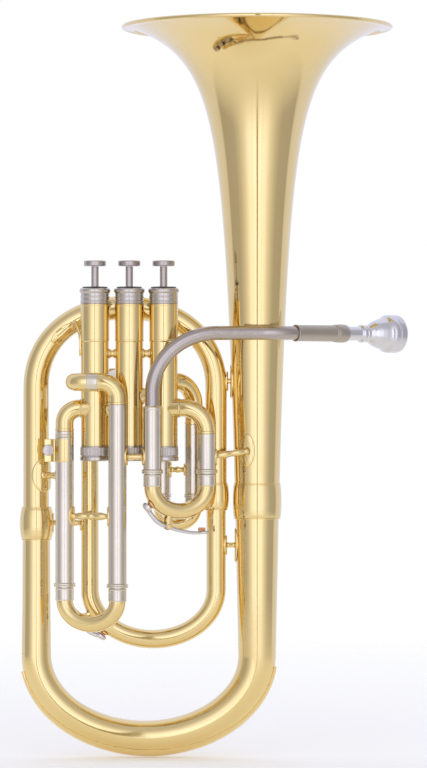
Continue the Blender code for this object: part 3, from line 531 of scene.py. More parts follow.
def make_bow_guard():
    """A thin crescent on the outer side of the bow, tapering to a point at both ends."""
    path = bow_path(BOW_LEFT_TOP, high("bottom_bow").z, 120)
    radii = tapered(path, BOW_TAPER)
    rings = []
    columns = 20
    for i in range(1, len(path) - 1):
        way = (path[i + 1] - path[i - 1]).normalized()
        out = way.cross(BACK).normalized()
        if out.dot(path[i] - Vector((0, 0, BOW_CENTRE_Z))) < 0:
            out = -out
        outer = radii[i] + GUARD_PROUD
        half = guard_angle(path[i], out, outer)
        if half < 0.02 or path[i].z > GUARD_TOPS[path[i].x > BOW_CENTRE_X]:
            continue
        outside = []
        inside = []
        for k in range(columns + 1):
            share = 2 * k / columns - 1
            turn = max(half, 0.03) * share
            outside.append((turn, outer - 1.2 * abs(share) ** 12))
            inside.append((turn * 0.995, radii[i] + 0.05))
        rings.append([
            path[i] + out * radius * math.cos(turn) + BACK * radius * math.sin(turn)
            for turn, radius in outside + inside[::-1]
        ])
    piece(skin("bow_guard_strip", rings, closed=False), BRASS, node="bow_guard")


def top_bow_point(angle):
    """A point of the top bow's centre line, the angle running from its left end."""
    turn = math.radians(angle)
    across = math.copysign(abs(math.cos(turn)) ** TOP_SQUARENESS, math.cos(turn))
    rise = abs(math.sin(turn)) ** TOP_SQUARENESS
    return TOP_CENTRE + LEFT * TOP_HALF_WIDTH * across + UP * TOP_RISE * rise


def make_top_bow():
    bend = [top_bow_point(2.5 * i) for i in range(73)]
    bottom = low("top_bow").z
    start = Vector((TOP_CENTRE.x - TOP_HALF_WIDTH, 0, bottom))
    path = divided([start] + bend + [Vector((RIGHT_LEG_X, 0, bottom + 20.4))], 12)
    pipe = tube("top_bow_tube", path, tapered(path, TOP_TAPER), BIG_WALL, 72)
    piece(pipe, BRASS, node="top_bow")


def make_small_bow():
    start = Vector((RIGHT_LEG_X, 0, low("top_bow").z + 20.0))
    bend = arc(SMALL_CENTRE, RIGHT * SMALL_HALF_WIDTH, DOWN * SMALL_DEPTH, 0, 180, 64)
    corner = Vector((SMALL_CENTRE.x - SMALL_HALF_WIDTH, 0, SMALL_OUTLET_Z))
    inwards = flat_way(corner, valve_axis(3))
    path = divided([start] + bend + elbow(corner, UP, inwards, 11.5), 10)
    path.append(valve_axis(3, SMALL_OUTLET_Z))
    radii = tapered(path, SMALL_TAPER)
    piece(landed_tube("small_bow_tube", path, radii, valve_axis(3), 64), BRASS, node="small_bow")


# Tubes that end on a curved wall, and what sits on tubes


def off_axis(point, axis):
    return math.hypot(point.x - axis.x, point.y - axis.y)


def landed(path, radii, axis, wall_r, sides):
    """Rings along a tube, each of whose lines stops where it meets an upright round wall."""
    rings = [ring_points(*at, radius, sides) for at, radius in zip(path_frames(path), radii)]
    for k in range(sides):
        stop = None
        for i in range(1, len(rings)):
            if stop is None and off_axis(rings[i][k], axis) < wall_r:
                outside = rings[i - 1][k]
                inside = rings[i][k]
                for _ in range(24):
                    half = (outside + inside) / 2
                    if off_axis(half, axis) < wall_r:
                        inside = half
                    else:
                        outside = half
                stop = outside
            if stop is not None:
                rings[i][k] = stop
    return rings


def fillet(name, curve, axis):
    """A bead of solder along a closed curve on an upright round wall."""
    rings = []
    for k, point in enumerate(curve):
        along = (curve[(k + 1) % len(curve)] - curve[k - 1]).normalized()
        lift = flat_way(axis, point)
        lift = (lift - along * lift.dot(along)).normalized()
        rings.append(ring_points(point, lift, along.cross(lift), SOLDER_R, 8))
    return skin(name, rings, closed=True)


def landed_tube(name, path, radii, axis, sides=48):
    """A hollow tube that is soldered to a valve casing at its last end."""
    outer = landed(path, radii, axis, CASING_R - 0.4, sides)
    inner = landed(path, [radius - TUBE_WALL for radius in radii], axis, CASING_R - 0.4, sides)
    pipe = skin(name + "_pipe", outer + inner[::-1], closed=True)
    curve = landed(path, [radius + 0.05 for radius in radii], axis, CASING_R, sides)[-1]
    return joined(name, pipe, fillet(name + "_fillet", curve, axis))


def saddle(name, centre, along, out, radius, half_width, half_height, thick=1.0):
    """A thin oval flange bent round a tube, its edge rounded.

    The tube's radius may be a function of the height above the flange's centre.
    """
    across = along.cross(out).normalized()
    sides = 40
    rings = []
    levels = [(0.0, 0.0), (0.5, 0.0), (0.9, 0.0), (0.97, 0.25), (1.0, 0.65), (1.0, 1.08)]
    levels += [(0.5, 1.08), (0.0, 1.08)]
    for share, dip in levels:
        ring = []
        for k in range(sides):
            angle = 2 * math.pi * k / sides
            v = half_height * max(share, 0.001) * math.sin(angle)
            base = radius(v) if callable(radius) else radius
            turn = half_width * max(share, 0.001) * math.cos(angle) / base
            reach = base + thick * (1 - dip)
            spot = out * (reach * math.cos(turn)) + across * (reach * math.sin(turn))
            ring.append(centre + along * v + spot)
        rings.append(ring)
    return skin(name, rings, closed=False)


def spool(name, start, end, neck, foot, ball):
    """A turned arm between two points: flared feet, a swelling neck and perhaps a ball."""
    way = (end - start).normalized()
    length = (end - start).length
    flare = min(2.6, length * 0.3)
    run = length / 2 - flare - ball
    swell = min(0.9, run * 0.1)
    half = []
    for i in range(9):
        share = i / 8
        half.append((neck + (foot - neck) * (1 - share) ** 2.2, flare * share))
    for i in range(1, 8):
        half.append((neck + swell * math.sin(math.pi * i / 8), flare + run * i / 8))
    profile = [(0, 0)] + half
    if ball and run > 0:
        for i in range(13):
            angle = math.pi * (i / 12 - 0.5)
            radius = max(ball * math.cos(angle), neck)
            profile.append((radius, length / 2 + ball * math.sin(angle)))
    profile += [(radius, length - height) for radius, height in half[::-1]]
    return lathe(name, profile + [(0, length)], start, way, 0, 32)


def arm(name, start, end, start_size, end_size, ball):
    """A strut with an oval flange on each tube. An end is (axis point, radius, tube direction)."""
    (from_point, from_r, from_way), (to_point, to_r, to_way) = start, end
    way = (to_point - from_point).normalized()
    first = from_point + way * (from_r - 0.1)
    last = to_point - way * (to_r - 0.1)
    out = (way - from_way * way.dot(from_way)).normalized()
    back = -(way - to_way * way.dot(to_way)).normalized()
    foot = min(3.5, start_size[0] * 0.8)
    return joined(
        name,
        spool(name + "_spool", first, last, 2.0, foot, ball),
        saddle(name + "_foot", from_point, from_way, out, from_r, *start_size),
        saddle(name + "_head", to_point, to_way, back, to_r, *end_size),
    )


# Valves

CASING_LOW = low("valve_1_casing").z
CASING_HIGH = high("valve_1_casing").z
TOP_CAP_LOW = low("valve_1_top_cap").z
TOP_CAP_HIGH = high("valve_1_top_cap").z
BOTTOM_CAP_LOW = low("valve_1_bottom_cap").z
BOTTOM_CAP_HIGH = high("valve_1_bottom_cap").z
STEM_LOW = low("valve_1_stem").z
BUTTON_LOW = high("valve_1_stem").z + 0.3
BUTTON_HIGH = high("valve_1_button").z
CASING_SEAM_Z = 313.4
BORE_R = 9.65
THREAD_R = 9.98
STRUT_Z = 304.0


def casing_shell(number):
    """A casing with a fine seam near its top and a turned shoulder at each cap."""
    top = TOP_CAP_LOW - 0.3
    bottom = BOTTOM_CAP_HIGH + 0.3
    upper = UPPER_CASING_R
    seam = CASING_SEAM_Z
    body = CASING_R - 0.1
    profile = [(THREAD_R, CASING_HIGH), (THREAD_R, top), (upper, top), (upper, top - 1.2)]
    profile += [(upper - 0.15, top - 1.5), (upper - 0.15, seam + 1.2), (upper, seam + 0.8)]
    profile += [(upper, seam), (CASING_R, seam - 0.5), (body, seam - 0.8), (body, bottom + 1.4)]
    profile += [(CASING_R, bottom + 1.1), (CASING_R, bottom), (THREAD_R, bottom)]
    profile += [(THREAD_R, CASING_LOW), (BORE_R, CASING_LOW), (BORE_R, CASING_HIGH)]
    return lathe(f"valve_{number}_casing_shell", profile, valve_axis(number), UP, 0.15, 96)


def strut_between(side, way):
    """The turned bar from the middle casing to a neighbour, with a round foot at each end."""
    hub = valve_axis(2, STRUT_Z)
    gap = (valve_axis(side) - valve_axis(2)).length
    start = hub + way * (CASING_R - 0.6)
    end = hub + way * (gap - CASING_R + 0.5)
    length = (end - start).length
    profile = [(0, 0), (3.8, 0), (3.8, 0.9), (3.3, 1.4), (2.85, 1.8), (2.85, length - 1.8)]
    profile += [(3.3, length - 1.4), (3.8, length - 0.9), (3.8, length), (0, length)]
    return lathe(f"strut_{side}", profile, start, way, 0.2, 40)


def crossover(side, height):
    """The short tube between two casings, soldered to both."""
    hub = valve_axis(2, height)
    far = valve_axis(side, height)
    radii = [SLIDE_R, SLIDE_R]
    return [
        landed_tube(f"crossover_{side}_{end}", [(hub + far) / 2, axis], radii, axis)
        for end, axis in (("near", hub), ("far", far))
    ]


def make_casings():
    for number in (1, 2, 3):
        items = [casing_shell(number)]
        if number == 2:
            for side, way, height in ((3, LEFT, 262.1), (1, RIGHT, 272.2)):
                items.append(strut_between(side, way))
                items += crossover(side, height)
        piece(joined(f"casing_{number}", *items), BRASS, node=f"valve_{number}_casing")


def make_top_cap(number):
    """A rolled rim above a plain band that two fine beads cross, and a felt ring on top."""
    axis = valve_axis(number)
    top = TOP_CAP_HIGH
    bottom = TOP_CAP_LOW
    profile = [(3.7, top), (10.0, top), (11.1, top - 0.4), (11.6, top - 1.2)]
    profile += [(11.65, top - 2.0), (11.55, top - 2.8), (11.1, top - 3.6), (10.75, top - 4.0)]
    for height in (top - 6.6, bottom + 1.9):
        profile += [(10.75, height + 0.55), (11.0, height + 0.25), (11.0, height - 0.25)]
        profile.append((10.75, height - 0.55))
    profile += [(11.0, bottom + 0.6), (11.0, bottom), (10.3, bottom), (10.3, top - 3.1)]
    profile.append((3.7, top - 3.1))
    cap = lathe(f"top_cap_{number}", profile, axis, UP, 0.16, 96)
    piece(cap, VALVE_NICKEL, node=f"valve_{number}_top_cap")
    ring = [(3.6, top + 0.05), (9.3, top + 0.05), (9.5, top + 0.3), (9.3, top + 0.95)]
    ring += [(3.9, top + 0.95), (3.6, top + 0.6)]
    piece(lathe(f"cap_felt_{number}", ring, axis, UP, 0.25, 64), FELT)


def fluted(name, profile, centre, teeth, depth, flute_low, flute_high):
    """A turned piece whose side is cut into fine upright teeth between two heights."""
    sides = teeth * 4
    side = UP.orthogonal().normalized()
    other = UP.cross(side)
    rings = []
    for radius, height in rounded(profile, 0.15, True):
        ring = []
        for k in range(sides):
            cut = depth if flute_low < height < flute_high and k % 4 > 1 else 0.0
            angle = 2 * math.pi * k / sides
            out = side * math.cos(angle) + other * math.sin(angle)
            ring.append(centre + UP * height + out * (radius - cut))
        rings.append(ring)
    return skin(name, rings, closed=True)


def make_bottom_cap(number):
    """A cup with a toothed side and a bright rolled lip, its floor drilled."""
    low_z = BOTTOM_CAP_LOW
    top = BOTTOM_CAP_HIGH
    profile = [(10.95, top), (10.95, top - 0.7), (10.7, top - 0.9), (10.95, top - 1.1)]
    profile += [(10.95, top - 2.4), (10.95, low_z + 5.2), (10.95, low_z + 4.2)]
    profile += [(10.65, low_z + 3.9), (11.0, low_z + 3.3), (11.3, low_z + 2.7)]
    profile += [(11.3, low_z + 0.7), (10.6, low_z), (8.6, low_z), (8.2, low_z + 0.5)]
    profile += [(3.4, low_z + 0.5), (3.0, low_z), (1.5, low_z), (1.5, low_z + 1.5)]
    profile += [(10.3, low_z + 1.5), (10.3, top)]
    centre = valve_axis(number)
    cap = fluted(f"bottom_cap_{number}", profile, centre, 60, 0.22, low_z + 4.3, top - 1.2)
    piece(cap, VALVE_NICKEL, node=f"valve_{number}_bottom_cap")


def make_stem(number):
    axis = valve_axis(number)
    top = BUTTON_LOW - 0.3
    profile = [(0, STEM_LOW), (2.7, STEM_LOW), (2.85, STEM_LOW + 0.2), (2.85, top), (0, top)]
    stem = lathe(f"stem_{number}", profile, axis, UP, 0.1, 40)
    piece(stem, BRUSHED_NICKEL, f"valve_{number}", f"valve_{number}_stem")
    low_z = BUTTON_LOW
    high_z = BUTTON_HIGH
    profile = [(0, high_z - 0.75), (4.0, high_z - 0.7), (6.6, high_z - 0.35), (7.4, high_z)]
    profile += [(8.0, high_z - 0.1), (8.35, high_z - 0.6), (8.35, low_z + 0.6)]
    profile += [(8.0, low_z + 0.1), (7.4, low_z), (0, low_z)]
    button = lathe(f"button_{number}", profile, axis, UP, 0.3, 64)
    piece(button, BRUSHED_NICKEL, f"valve_{number}", f"valve_{number}_button")


def make_spring(number):
    """A coil of wire with a closed turn at each end."""
    node = f"valve_{number}_spring"
    wire = 0.45
    bottom = low(node).z + wire
    top = high(node).z - wire
    turns = 8
    steps = turns * 24
    points = []
    for i in range(steps + 1):
        turn = i / 24
        share = min(max((turn - 1) / (turns - 2), 0.0), 1.0)
        end = 2.1 * wire
        height = bottom + end * min(turn, 1) + (top - bottom - 2 * end) * share
        height += end * max(turn - turns + 1, 0)
        angle = 2 * math.pi * turn
        out = Vector((math.cos(angle), math.sin(angle), 0)) * 5.5
        points.append(valve_axis(number, height) + out)
    coil = rod(f"coil_{number}", points, [wire] * len(points), 10)
    piece(coil, STEEL, "root", node)
    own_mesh(coil)


# Slides

TUNING_LEGS = (Vector((5.44, -41.0, 0)), Vector((46.0, -25.5, 0)))
THIRD_LEGS = (Vector((-60.4, -25.5, 0)), Vector((-20.5, -41.0, 0)))
FIRST_LEGS = (Vector((11.8, 0, 0)), Vector((36.2, -3.5, 0)))
SECOND_WAY = Vector((-0.342, 0.94, 0)).normalized()
INLET_Y = -25.5
INLET_Z = 263.2
FIRST_UPPER_Z = 283.2
FIRST_LOWER_Z = 262.0
SECOND_UPPER_Z = 285.0
SECOND_LOWER_Z = 256.0
THIRD_UPPER_Z = 282.6
THIRD_UPPER_Y = -23.0
THIRD_LOWER_Z = 263.0
TUNING_RING_Z = low("tuning_socket_right").z
THIRD_RING_Z = low("third_socket_left").z
FIRST_RING_Z = low("first_socket_left").z
TUNING_BOW = (205.0, 18.8)
THIRD_BOW = (119.5, 17.5)
FIRST_BOW = (189.0, 12.5)
SECOND_RING_T = 40.5
SECOND_BOW_T = 46.0


def ring_foot(ring, bottom):
    """The beaded ring at the foot of a nickel tube."""
    profile = [(SOCKET_BORE_R, bottom), (ring - 0.25, bottom), (ring, bottom + 0.3)]
    profile += [(ring, bottom + 1.0), (ring - 0.35, bottom + 1.4), (ring, bottom + 1.8)]
    return profile + [(ring, bottom + 2.4), (ring - 0.3, bottom + 2.8)]


def outer_tube(name, node, leg, bottom, seam, ring=RING_R, lines=()):
    """The nickel tube that a leg slides in: a beaded ring below, fine lines near its seam."""
    profile = ring_foot(ring, bottom)
    profile += [(SOCKET_R + 0.15, bottom + 3.0), (SOCKET_R, bottom + 3.4)]
    for line in lines:
        profile += [(SOCKET_R, line - 0.45), (SOCKET_R + 0.28, line - 0.15)]
        profile += [(SOCKET_R + 0.28, line + 0.15), (SOCKET_R, line + 0.45)]
    profile += [(SOCKET_R, seam - 0.3), (SOCKET_R - 0.25, seam), (SOCKET_BORE_R, seam)]
    piece(lathe(name, profile, level(leg, 0), UP, 0.12, 64), NICKEL, node=node)


def elbow_tube(name, leg, seam, corner, way, bend, rest, number):
    """The brass tube from the top of a nickel one, round an elbow and on to a casing."""
    path = [level(leg, seam + 0.1), level(leg, seam + 1.6), level(leg, seam + 1.9)]
    path += elbow(corner, UP, way, bend) + rest
    radii = [SOCKET_R + 0.2] * 2 + [ELBOW_R] * (len(path) - 2)
    piece(landed_tube(name, path, radii, valve_axis(number)), BRASS)


def collar_ring(name, point, way, radius, length, material=NICKEL):
    """A short sleeve over a tube, beaded at both edges."""
    half = length / 2
    profile = [(radius, half), (radius + 0.45, half), (radius + 0.6, half - 0.3)]
    profile += [(radius + 0.35, half - 0.7), (radius + 0.35, -half + 0.7)]
    profile += [(radius + 0.6, -half + 0.3), (radius + 0.45, -half), (radius, -half)]
    piece(lathe(name, profile, point, way, 0.12, 56), material)


def slide_legs(name, node, body, legs, tops, bow_z, ring_z):
    """Both inner legs of a slide, each with the ferrule that joins it to the bow."""
    items = []
    for i, (leg, top) in enumerate(zip(legs, tops)):
        profile = [(SLIDE_R, top), (SLIDE_R, ring_z - 0.6), (FERRULE_R, ring_z - 0.8)]
        profile += [(FERRULE_R + 0.15, ring_z - 1.3), (FERRULE_R, ring_z - 1.9)]
        profile += [(FERRULE_R, bow_z + 0.9), (FERRULE_R + 0.15, bow_z + 0.5)]
        profile += [(FERRULE_R, bow_z - 0.1), (SLIDE_BORE_R, bow_z - 0.1), (SLIDE_BORE_R, top)]
        items.append(lathe(f"{name}_{i}", profile, level(leg, 0), UP, 0.12, 56))
    piece(joined(name, *items), NICKEL, body, node)


def slide_bow(name, body, legs, bow):
    left, right = legs
    half = (right - left) / 2
    centre = left + half + UP * bow[0]
    path = arc(centre, -half, DOWN * bow[1], 0, 180, 48)
    piece(tube(name, path, [SLIDE_R] * len(path)), BRASS, body)


def make_tuning():
    left, right = TUNING_LEGS
    top = high("tuning_socket_left").z
    outer_tube("tuning_outer_right", "tuning_socket_right", right, TUNING_RING_Z, 244.0)
    corner = level(right, INLET_Z)
    end = [Vector((valve_axis(1).x, INLET_Y, INLET_Z))]
    elbow_tube("tuning_elbow", right, 244.0, corner, LEFT, 17.5, end, 1)
    collar_ring("inlet_collar", Vector((25.2, INLET_Y, INLET_Z)), RIGHT, ELBOW_R, 1.8, BRASS)
    bottom = TUNING_RING_Z
    profile = ring_foot(RING_R, bottom) + [(SOCKET_R, bottom + 3.3), (SOCKET_R, top - 3.0)]
    profile += [(SOCKET_R + 0.2, top - 2.7), (SOCKET_R + 0.2, top - 1.3), (5.75, top)]
    profile += [(5.75, top - 3), (SOCKET_BORE_R, top - 3)]
    socket = lathe("tuning_outer_left", profile, level(left, 0), UP, 0.12, 64)
    piece(socket, NICKEL, node="tuning_socket_left")
    tops = (259, 241)
    slide_legs("tuning_legs", "tuning_slide", "tuning_slide", TUNING_LEGS, tops, 205.0, bottom)
    slide_bow("tuning_bow", "tuning_slide", TUNING_LEGS, TUNING_BOW)


def make_third():
    left, right = THIRD_LEGS
    bottom = THIRD_RING_Z
    outer_tube("third_outer_left", "third_socket_left", left, bottom, 246.0, lines=(241.6, 243.4))
    outer_tube("third_outer_right", "third_socket_right", right, bottom, 265.9)
    corner = level(left, THIRD_LOWER_Z)
    end = [Vector((valve_axis(3).x, left.y, THIRD_LOWER_Z))]
    elbow_tube("third_elbow_left", left, 246.0, corner, RIGHT, 11, end, 3)
    stub = Vector((-47.9, left.y, THIRD_LOWER_Z))
    collar_ring("third_stub_collar", stub, RIGHT, ELBOW_R, 1.6, BRASS)
    corner = level(right, THIRD_UPPER_Z)
    turn_r = (THIRD_UPPER_Y - right.y) / 2
    centre = Vector((-43.85, right.y + turn_r, THIRD_UPPER_Z))
    rest = arc(centre, FRONT * turn_r, LEFT * turn_r, 0, 180, 36)
    rest.append(Vector((valve_axis(3).x, THIRD_UPPER_Y, THIRD_UPPER_Z)))
    elbow_tube("third_elbow_right", right, 265.9, corner, LEFT, 12.3, rest, 3)
    collar_ring("third_run_ferrule", Vector((-39.4, right.y, THIRD_UPPER_Z)), LEFT, ELBOW_R, 8.4)
    slide_legs("third_legs", "third_slide", "third_slide", THIRD_LEGS, (236, 236), 119.5, bottom)
    slide_bow("third_bow", "third_slide", THIRD_LEGS, THIRD_BOW)


def make_first():
    bottom = FIRST_RING_Z
    for name, leg, height, bend, seam in (
        ("left", FIRST_LEGS[0], FIRST_LOWER_Z, 11.0, 249.5),
        ("right", FIRST_LEGS[1], FIRST_UPPER_Z, 18.0, 251.0),
    ):
        node = f"first_socket_{name}"
        outer_tube(f"first_outer_{name}", node, leg, bottom, seam, SLIM_RING_R)
        inwards = flat_way(leg, valve_axis(1))
        corner = level(leg, height)
        end = [valve_axis(1, height)]
        seam = min(seam, height - bend - 2.2)
        elbow_tube(f"first_elbow_{name}", leg, seam, corner, inwards, bend, end, 1)
    slide_legs("first_legs", "first_slide", "first_slide", FIRST_LEGS, (246, 246), 189.0, bottom)
    slide_bow("first_bow", "first_slide", FIRST_LEGS, FIRST_BOW)


def make_second():
    """The short slide behind the middle valve."""
    hub = valve_axis(2)
    items = []
    for name, height in (("upper", SECOND_UPPER_Z), ("lower", SECOND_LOWER_Z)):
        start = hub + UP * height
        ring = SECOND_RING_T
        profile = [(SOCKET_BORE_R, ring), (RING_R - 0.3, ring), (RING_R, ring - 0.3)]
        profile += [(RING_R, ring - 1.0), (RING_R - 0.35, ring - 1.4), (RING_R, ring - 1.8)]
        profile += [(RING_R, ring - 2.4), (SOCKET_R, ring - 3.2), (SOCKET_R, 18)]
        profile.append((SOCKET_BORE_R, 18))
        pipe = lathe(f"second_outer_{name}", profile, start, SECOND_WAY, 0.12, 64)
        piece(pipe, NICKEL, node=f"second_socket_{name}")
        path = [start + SECOND_WAY * 17.9, start]
        piece(landed_tube(f"second_stub_{name}", path, [SOCKET_R, SOCKET_R], hub), BRASS)
        profile = [(SLIDE_R, 14), (SLIDE_R, ring + 0.6), (FERRULE_R, ring + 0.8)]
        profile += [(FERRULE_R, SECOND_BOW_T), (SLIDE_BORE_R, SECOND_BOW_T), (SLIDE_BORE_R, 14)]
        items.append(lathe(f"second_leg_{name}", profile, start, SECOND_WAY, 0.12, 56))
    piece(joined("second_legs", *items), NICKEL, "second_slide", "second_slide")
    half = (SECOND_UPPER_Z - SECOND_LOWER_Z) / 2
    centre = hub + SECOND_WAY * SECOND_BOW_T + UP * (SECOND_LOWER_Z + half)
    path = arc(centre, UP * half, SECOND_WAY * half, 0, 180, 48)
    piece(tube("second_bow", path, [SLIDE_R] * len(path)), BRASS, "second_slide")


# Leadpipe, receiver and mouthpiece

LEADPIPE_TURN_X = 88.0
LEADPIPE_TURN_R = 38.0
LEADPIPE_TURN = 35


def make_leadpipe():
    """It returns where its straight end starts, and which way that points."""
    foot = TUNING_LEGS[0]
    centre = foot + RIGHT * 48.4 + UP * 274.5
    bend = arc(centre, LEFT * 48.4, UP * 44.7, 0, 90, 48)
    centre = Vector((LEADPIPE_TURN_X, bend[-1].y + LEADPIPE_TURN_R, bend[-1].z))
    turned_r = LEADPIPE_TURN_R
    turn = arc(centre, FRONT * turned_r, RIGHT * turned_r, 0, LEADPIPE_TURN, 20)
    angle = math.radians(LEADPIPE_TURN)
    way = RIGHT * math.cos(angle) + BACK * math.sin(angle)
    path = [foot + UP * low("leadpipe").z] + bend + turn + [turn[-1] + way * 15]
    path = divided(path, 10)
    radii = tapered(path, ((0, 5.45), (90, 5.3), (200, 5.0)))
    pipe = tube("leadpipe_tube", path, radii, TUBE_WALL, 56)
    piece(pipe, BRUSHED_NICKEL, node="leadpipe")
    return turn[-1], way


def make_mouthpiece(start, way):
    """Receiver and mouthpiece, the heights in their profiles running along the axis."""
    profile = [(5.6, 50.1), (6.1, 50.1), (6.55, 49.2), (6.8, 47.6), (6.9, 45.4), (6.85, 42.6)]
    profile += [(6.6, 40.6), (6.3, 39.9), (6.55, 39.4), (6.55, 39.0), (6.15, 38.6), (6.05, 6.0)]
    profile += [(6.05, 4.4), (6.35, 4.0), (6.4, 3.4), (6.2, 2.6), (5.35, 2.6), (5.35, 24)]
    receiver = lathe("receiver", profile, start, way, 0.12, 72)
    piece(receiver, SATIN, node="mouthpiece_receiver")
    profile = [(9.3, 97.2), (9.8, 98.2), (10.7, 98.9), (11.7, 99.1), (12.8, 99.0), (13.7, 98.6)]
    profile += [(14.2, 97.8), (14.35, 96.8), (14.35, 93.2), (14.1, 92.5), (14.1, 91.9)]
    profile += [(14.35, 91.3), (14.35, 89.6), (14.2, 88.3), (13.7, 87.0), (12.8, 85.8)]
    profile += [(12.1, 84.6), (11.7, 83.2), (11.2, 81.2), (10.2, 78.2), (8.9, 75.2)]
    profile += [(7.3, 72.8), (5.9, 71.3), (5.3, 70.6), (5.4, 70.0), (6.2, 69.4), (6.5, 68.4)]
    profile += [(6.2, 67.4), (5.9, 66.9), (6.3, 66.4), (6.8, 65.4), (6.8, 64.2), (6.3, 63.2)]
    profile += [(5.5, 62.7), (5.2, 62.0), (5.2, 56.0), (5.3, 50.1), (4.7, 27.0), (3.7, 27.0)]
    profile += [(3.1, 44.0), (2.2, 66.0), (2.2, 70.0), (2.6, 72.4), (3.8, 75.4), (5.9, 79.6)]
    profile += [(7.4, 84.0), (8.3, 88.4), (8.8, 93.0), (9.0, 95.4)]
    cup = lathe("mouthpiece_cup", profile, start, way, 0.3, 112)
    piece(cup, SILVER, "mouthpiece", "mouthpiece")


# Braces


def at(point, height, radius=SOCKET_R):
    return (level(point, height), radius, UP)


def make_braces():
    left_leg = Vector((LEFT_LEG_X, 0, 0))
    right_leg = Vector((RIGHT_LEG_X, 0, 0))
    small_left = Vector((SMALL_CENTRE.x - SMALL_HALF_WIDTH, 0, 0))
    third_left, third_right = THIRD_LEGS
    first_left, first_right = FIRST_LEGS
    wide = (5.2, 7.6)
    even = (4.9, 6.6)
    oval = (4.6, 6.2)
    leg_oval = (4.8, 7.6)
    bell_upper = at(BELL_AXIS, 283.4, bell_radius(283.4))
    bell_lower = at(BELL_AXIS, 159.7, 16.15)
    plans = {
        "third_slide": (at(third_left, 182.5), at(third_right, 182.5), wide, wide, 2.9),
        "third_to_tuning": (at(third_right, 227), at(TUNING_LEGS[0], 227), even, even, 0),
        "first_slide": (
            at(first_left, 216.6), at(first_right, 216.6), (4.4, 6.2), (3.7, 4.8), 2.6,
        ),
        "left_leg": (at(left_leg, 212.5, 10.2), at(third_left, 212.5), (10.4, 12.9), oval, 0),
        "left_ferrule": (
            at(left_leg, 176.5, 12.4), at(small_left, 176.5, 6.65), leg_oval, oval, 2.7,
        ),
        "bell_upper": (at(right_leg, 283.4, 8.2), bell_upper, (4.4, 7.6), (6.4, 13.0), 0),
        "bell_lower": (at(right_leg, 159.7, 7.4), bell_lower, leg_oval, (6.6, 13.0), 2.5),
    }
    for name, plan in plans.items():
        piece(arm(f"brace_{name}_arm", *plan), BRASS, node=f"brace_{name}")
    make_tuning_brace()
    make_top_bow_brace()


def make_tuning_brace():
    """The slanting arm from the main slide's right tube to the side of the bell."""
    start = level(TUNING_LEGS[1], 226.5)
    aim = Vector((76.1, -16.6, 230.8))
    way = (aim - start).normalized()
    out = flat_way(BELL_AXIS, aim)
    centre = level(BELL_AXIS, 231.5)

    def bell_at(offset):
        return bell_radius(centre.z + offset) - 0.05

    flat = flat_way(start, aim)
    last = aim + way * 0.4
    items = [spool("tuning_arm", start + way * (SOCKET_R - 0.1), last, 1.95, 3.3, 0)]
    items.append(saddle("tuning_arm_foot", start, UP, flat, SOCKET_R, 4.6, 6.4))
    items.append(saddle("tuning_arm_head", centre, UP, out, bell_at, 6.0, 12.5))
    piece(joined("tuning_brace_arm", *items), BRASS, node="brace_tuning_to_bell")


def make_top_bow_brace():
    """A bent arm from an oval flange on the top bow to a plate down the third casing's side."""
    on_bow = top_bow_point(TOP_BRACE_ANGLE)
    tangent = top_bow_point(TOP_BRACE_ANGLE + 2) - top_bow_point(TOP_BRACE_ANGLE - 2)
    tangent.normalize()
    bow_r = between(TOP_TAPER, (TOP_CENTRE.z - low("top_bow").z) + 60)
    facing = FRONT + RIGHT * 0.5
    facing = (facing - tangent * facing.dot(tangent)).normalized()
    axis = valve_axis(3, 311.5)
    side = axis + LEFT * (UPPER_CASING_R - 0.2)
    skim = facing * (bow_r + 0.7)
    path = [on_bow + skim - tangent * 4, on_bow + skim + tangent * 2, on_bow + skim + tangent * 8]
    path += [side + LEFT * 4.9 + UP * 15.6 + BACK * 5, side + LEFT * 1.4 + UP * 9.4 + BACK * 1.5]
    path += [side + UP * 1.5, side + DOWN * 8.5]
    bent = smooth_path(path, 8)
    radii = [1.7 - 0.7 * i / (len(bent) - 1) for i in range(len(bent))]
    items = [rod("top_bow_arm", bent, radii, 24)]
    items.append(saddle("top_bow_flange", on_bow, tangent, facing, bow_r, 4.4, 10.5, 0.9))
    items.append(saddle("top_bow_strap", axis, UP, LEFT, UPPER_CASING_R, 3.0, 9.5, 0.9))
    piece(joined("top_bow_brace", *items), BRASS, node="brace_valve_to_top_bow")


# Lyre holder

CLAMP_START = -22
CLAMP_STOP = 205


def wrapped(name, profile, centre, start, stop):
    """A profile of (radius, height) swept part of the way round, in degrees from the front."""
    steps = 40
    rings = []
    for i in range(steps + 1):
        angle = math.radians(start + (stop - start) * i / steps)
        out = FRONT * math.cos(angle) + LEFT * math.sin(angle)
        rings.append([centre + out * radius + UP * height for radius, height in profile])
    return skin(name, rings, closed=False)


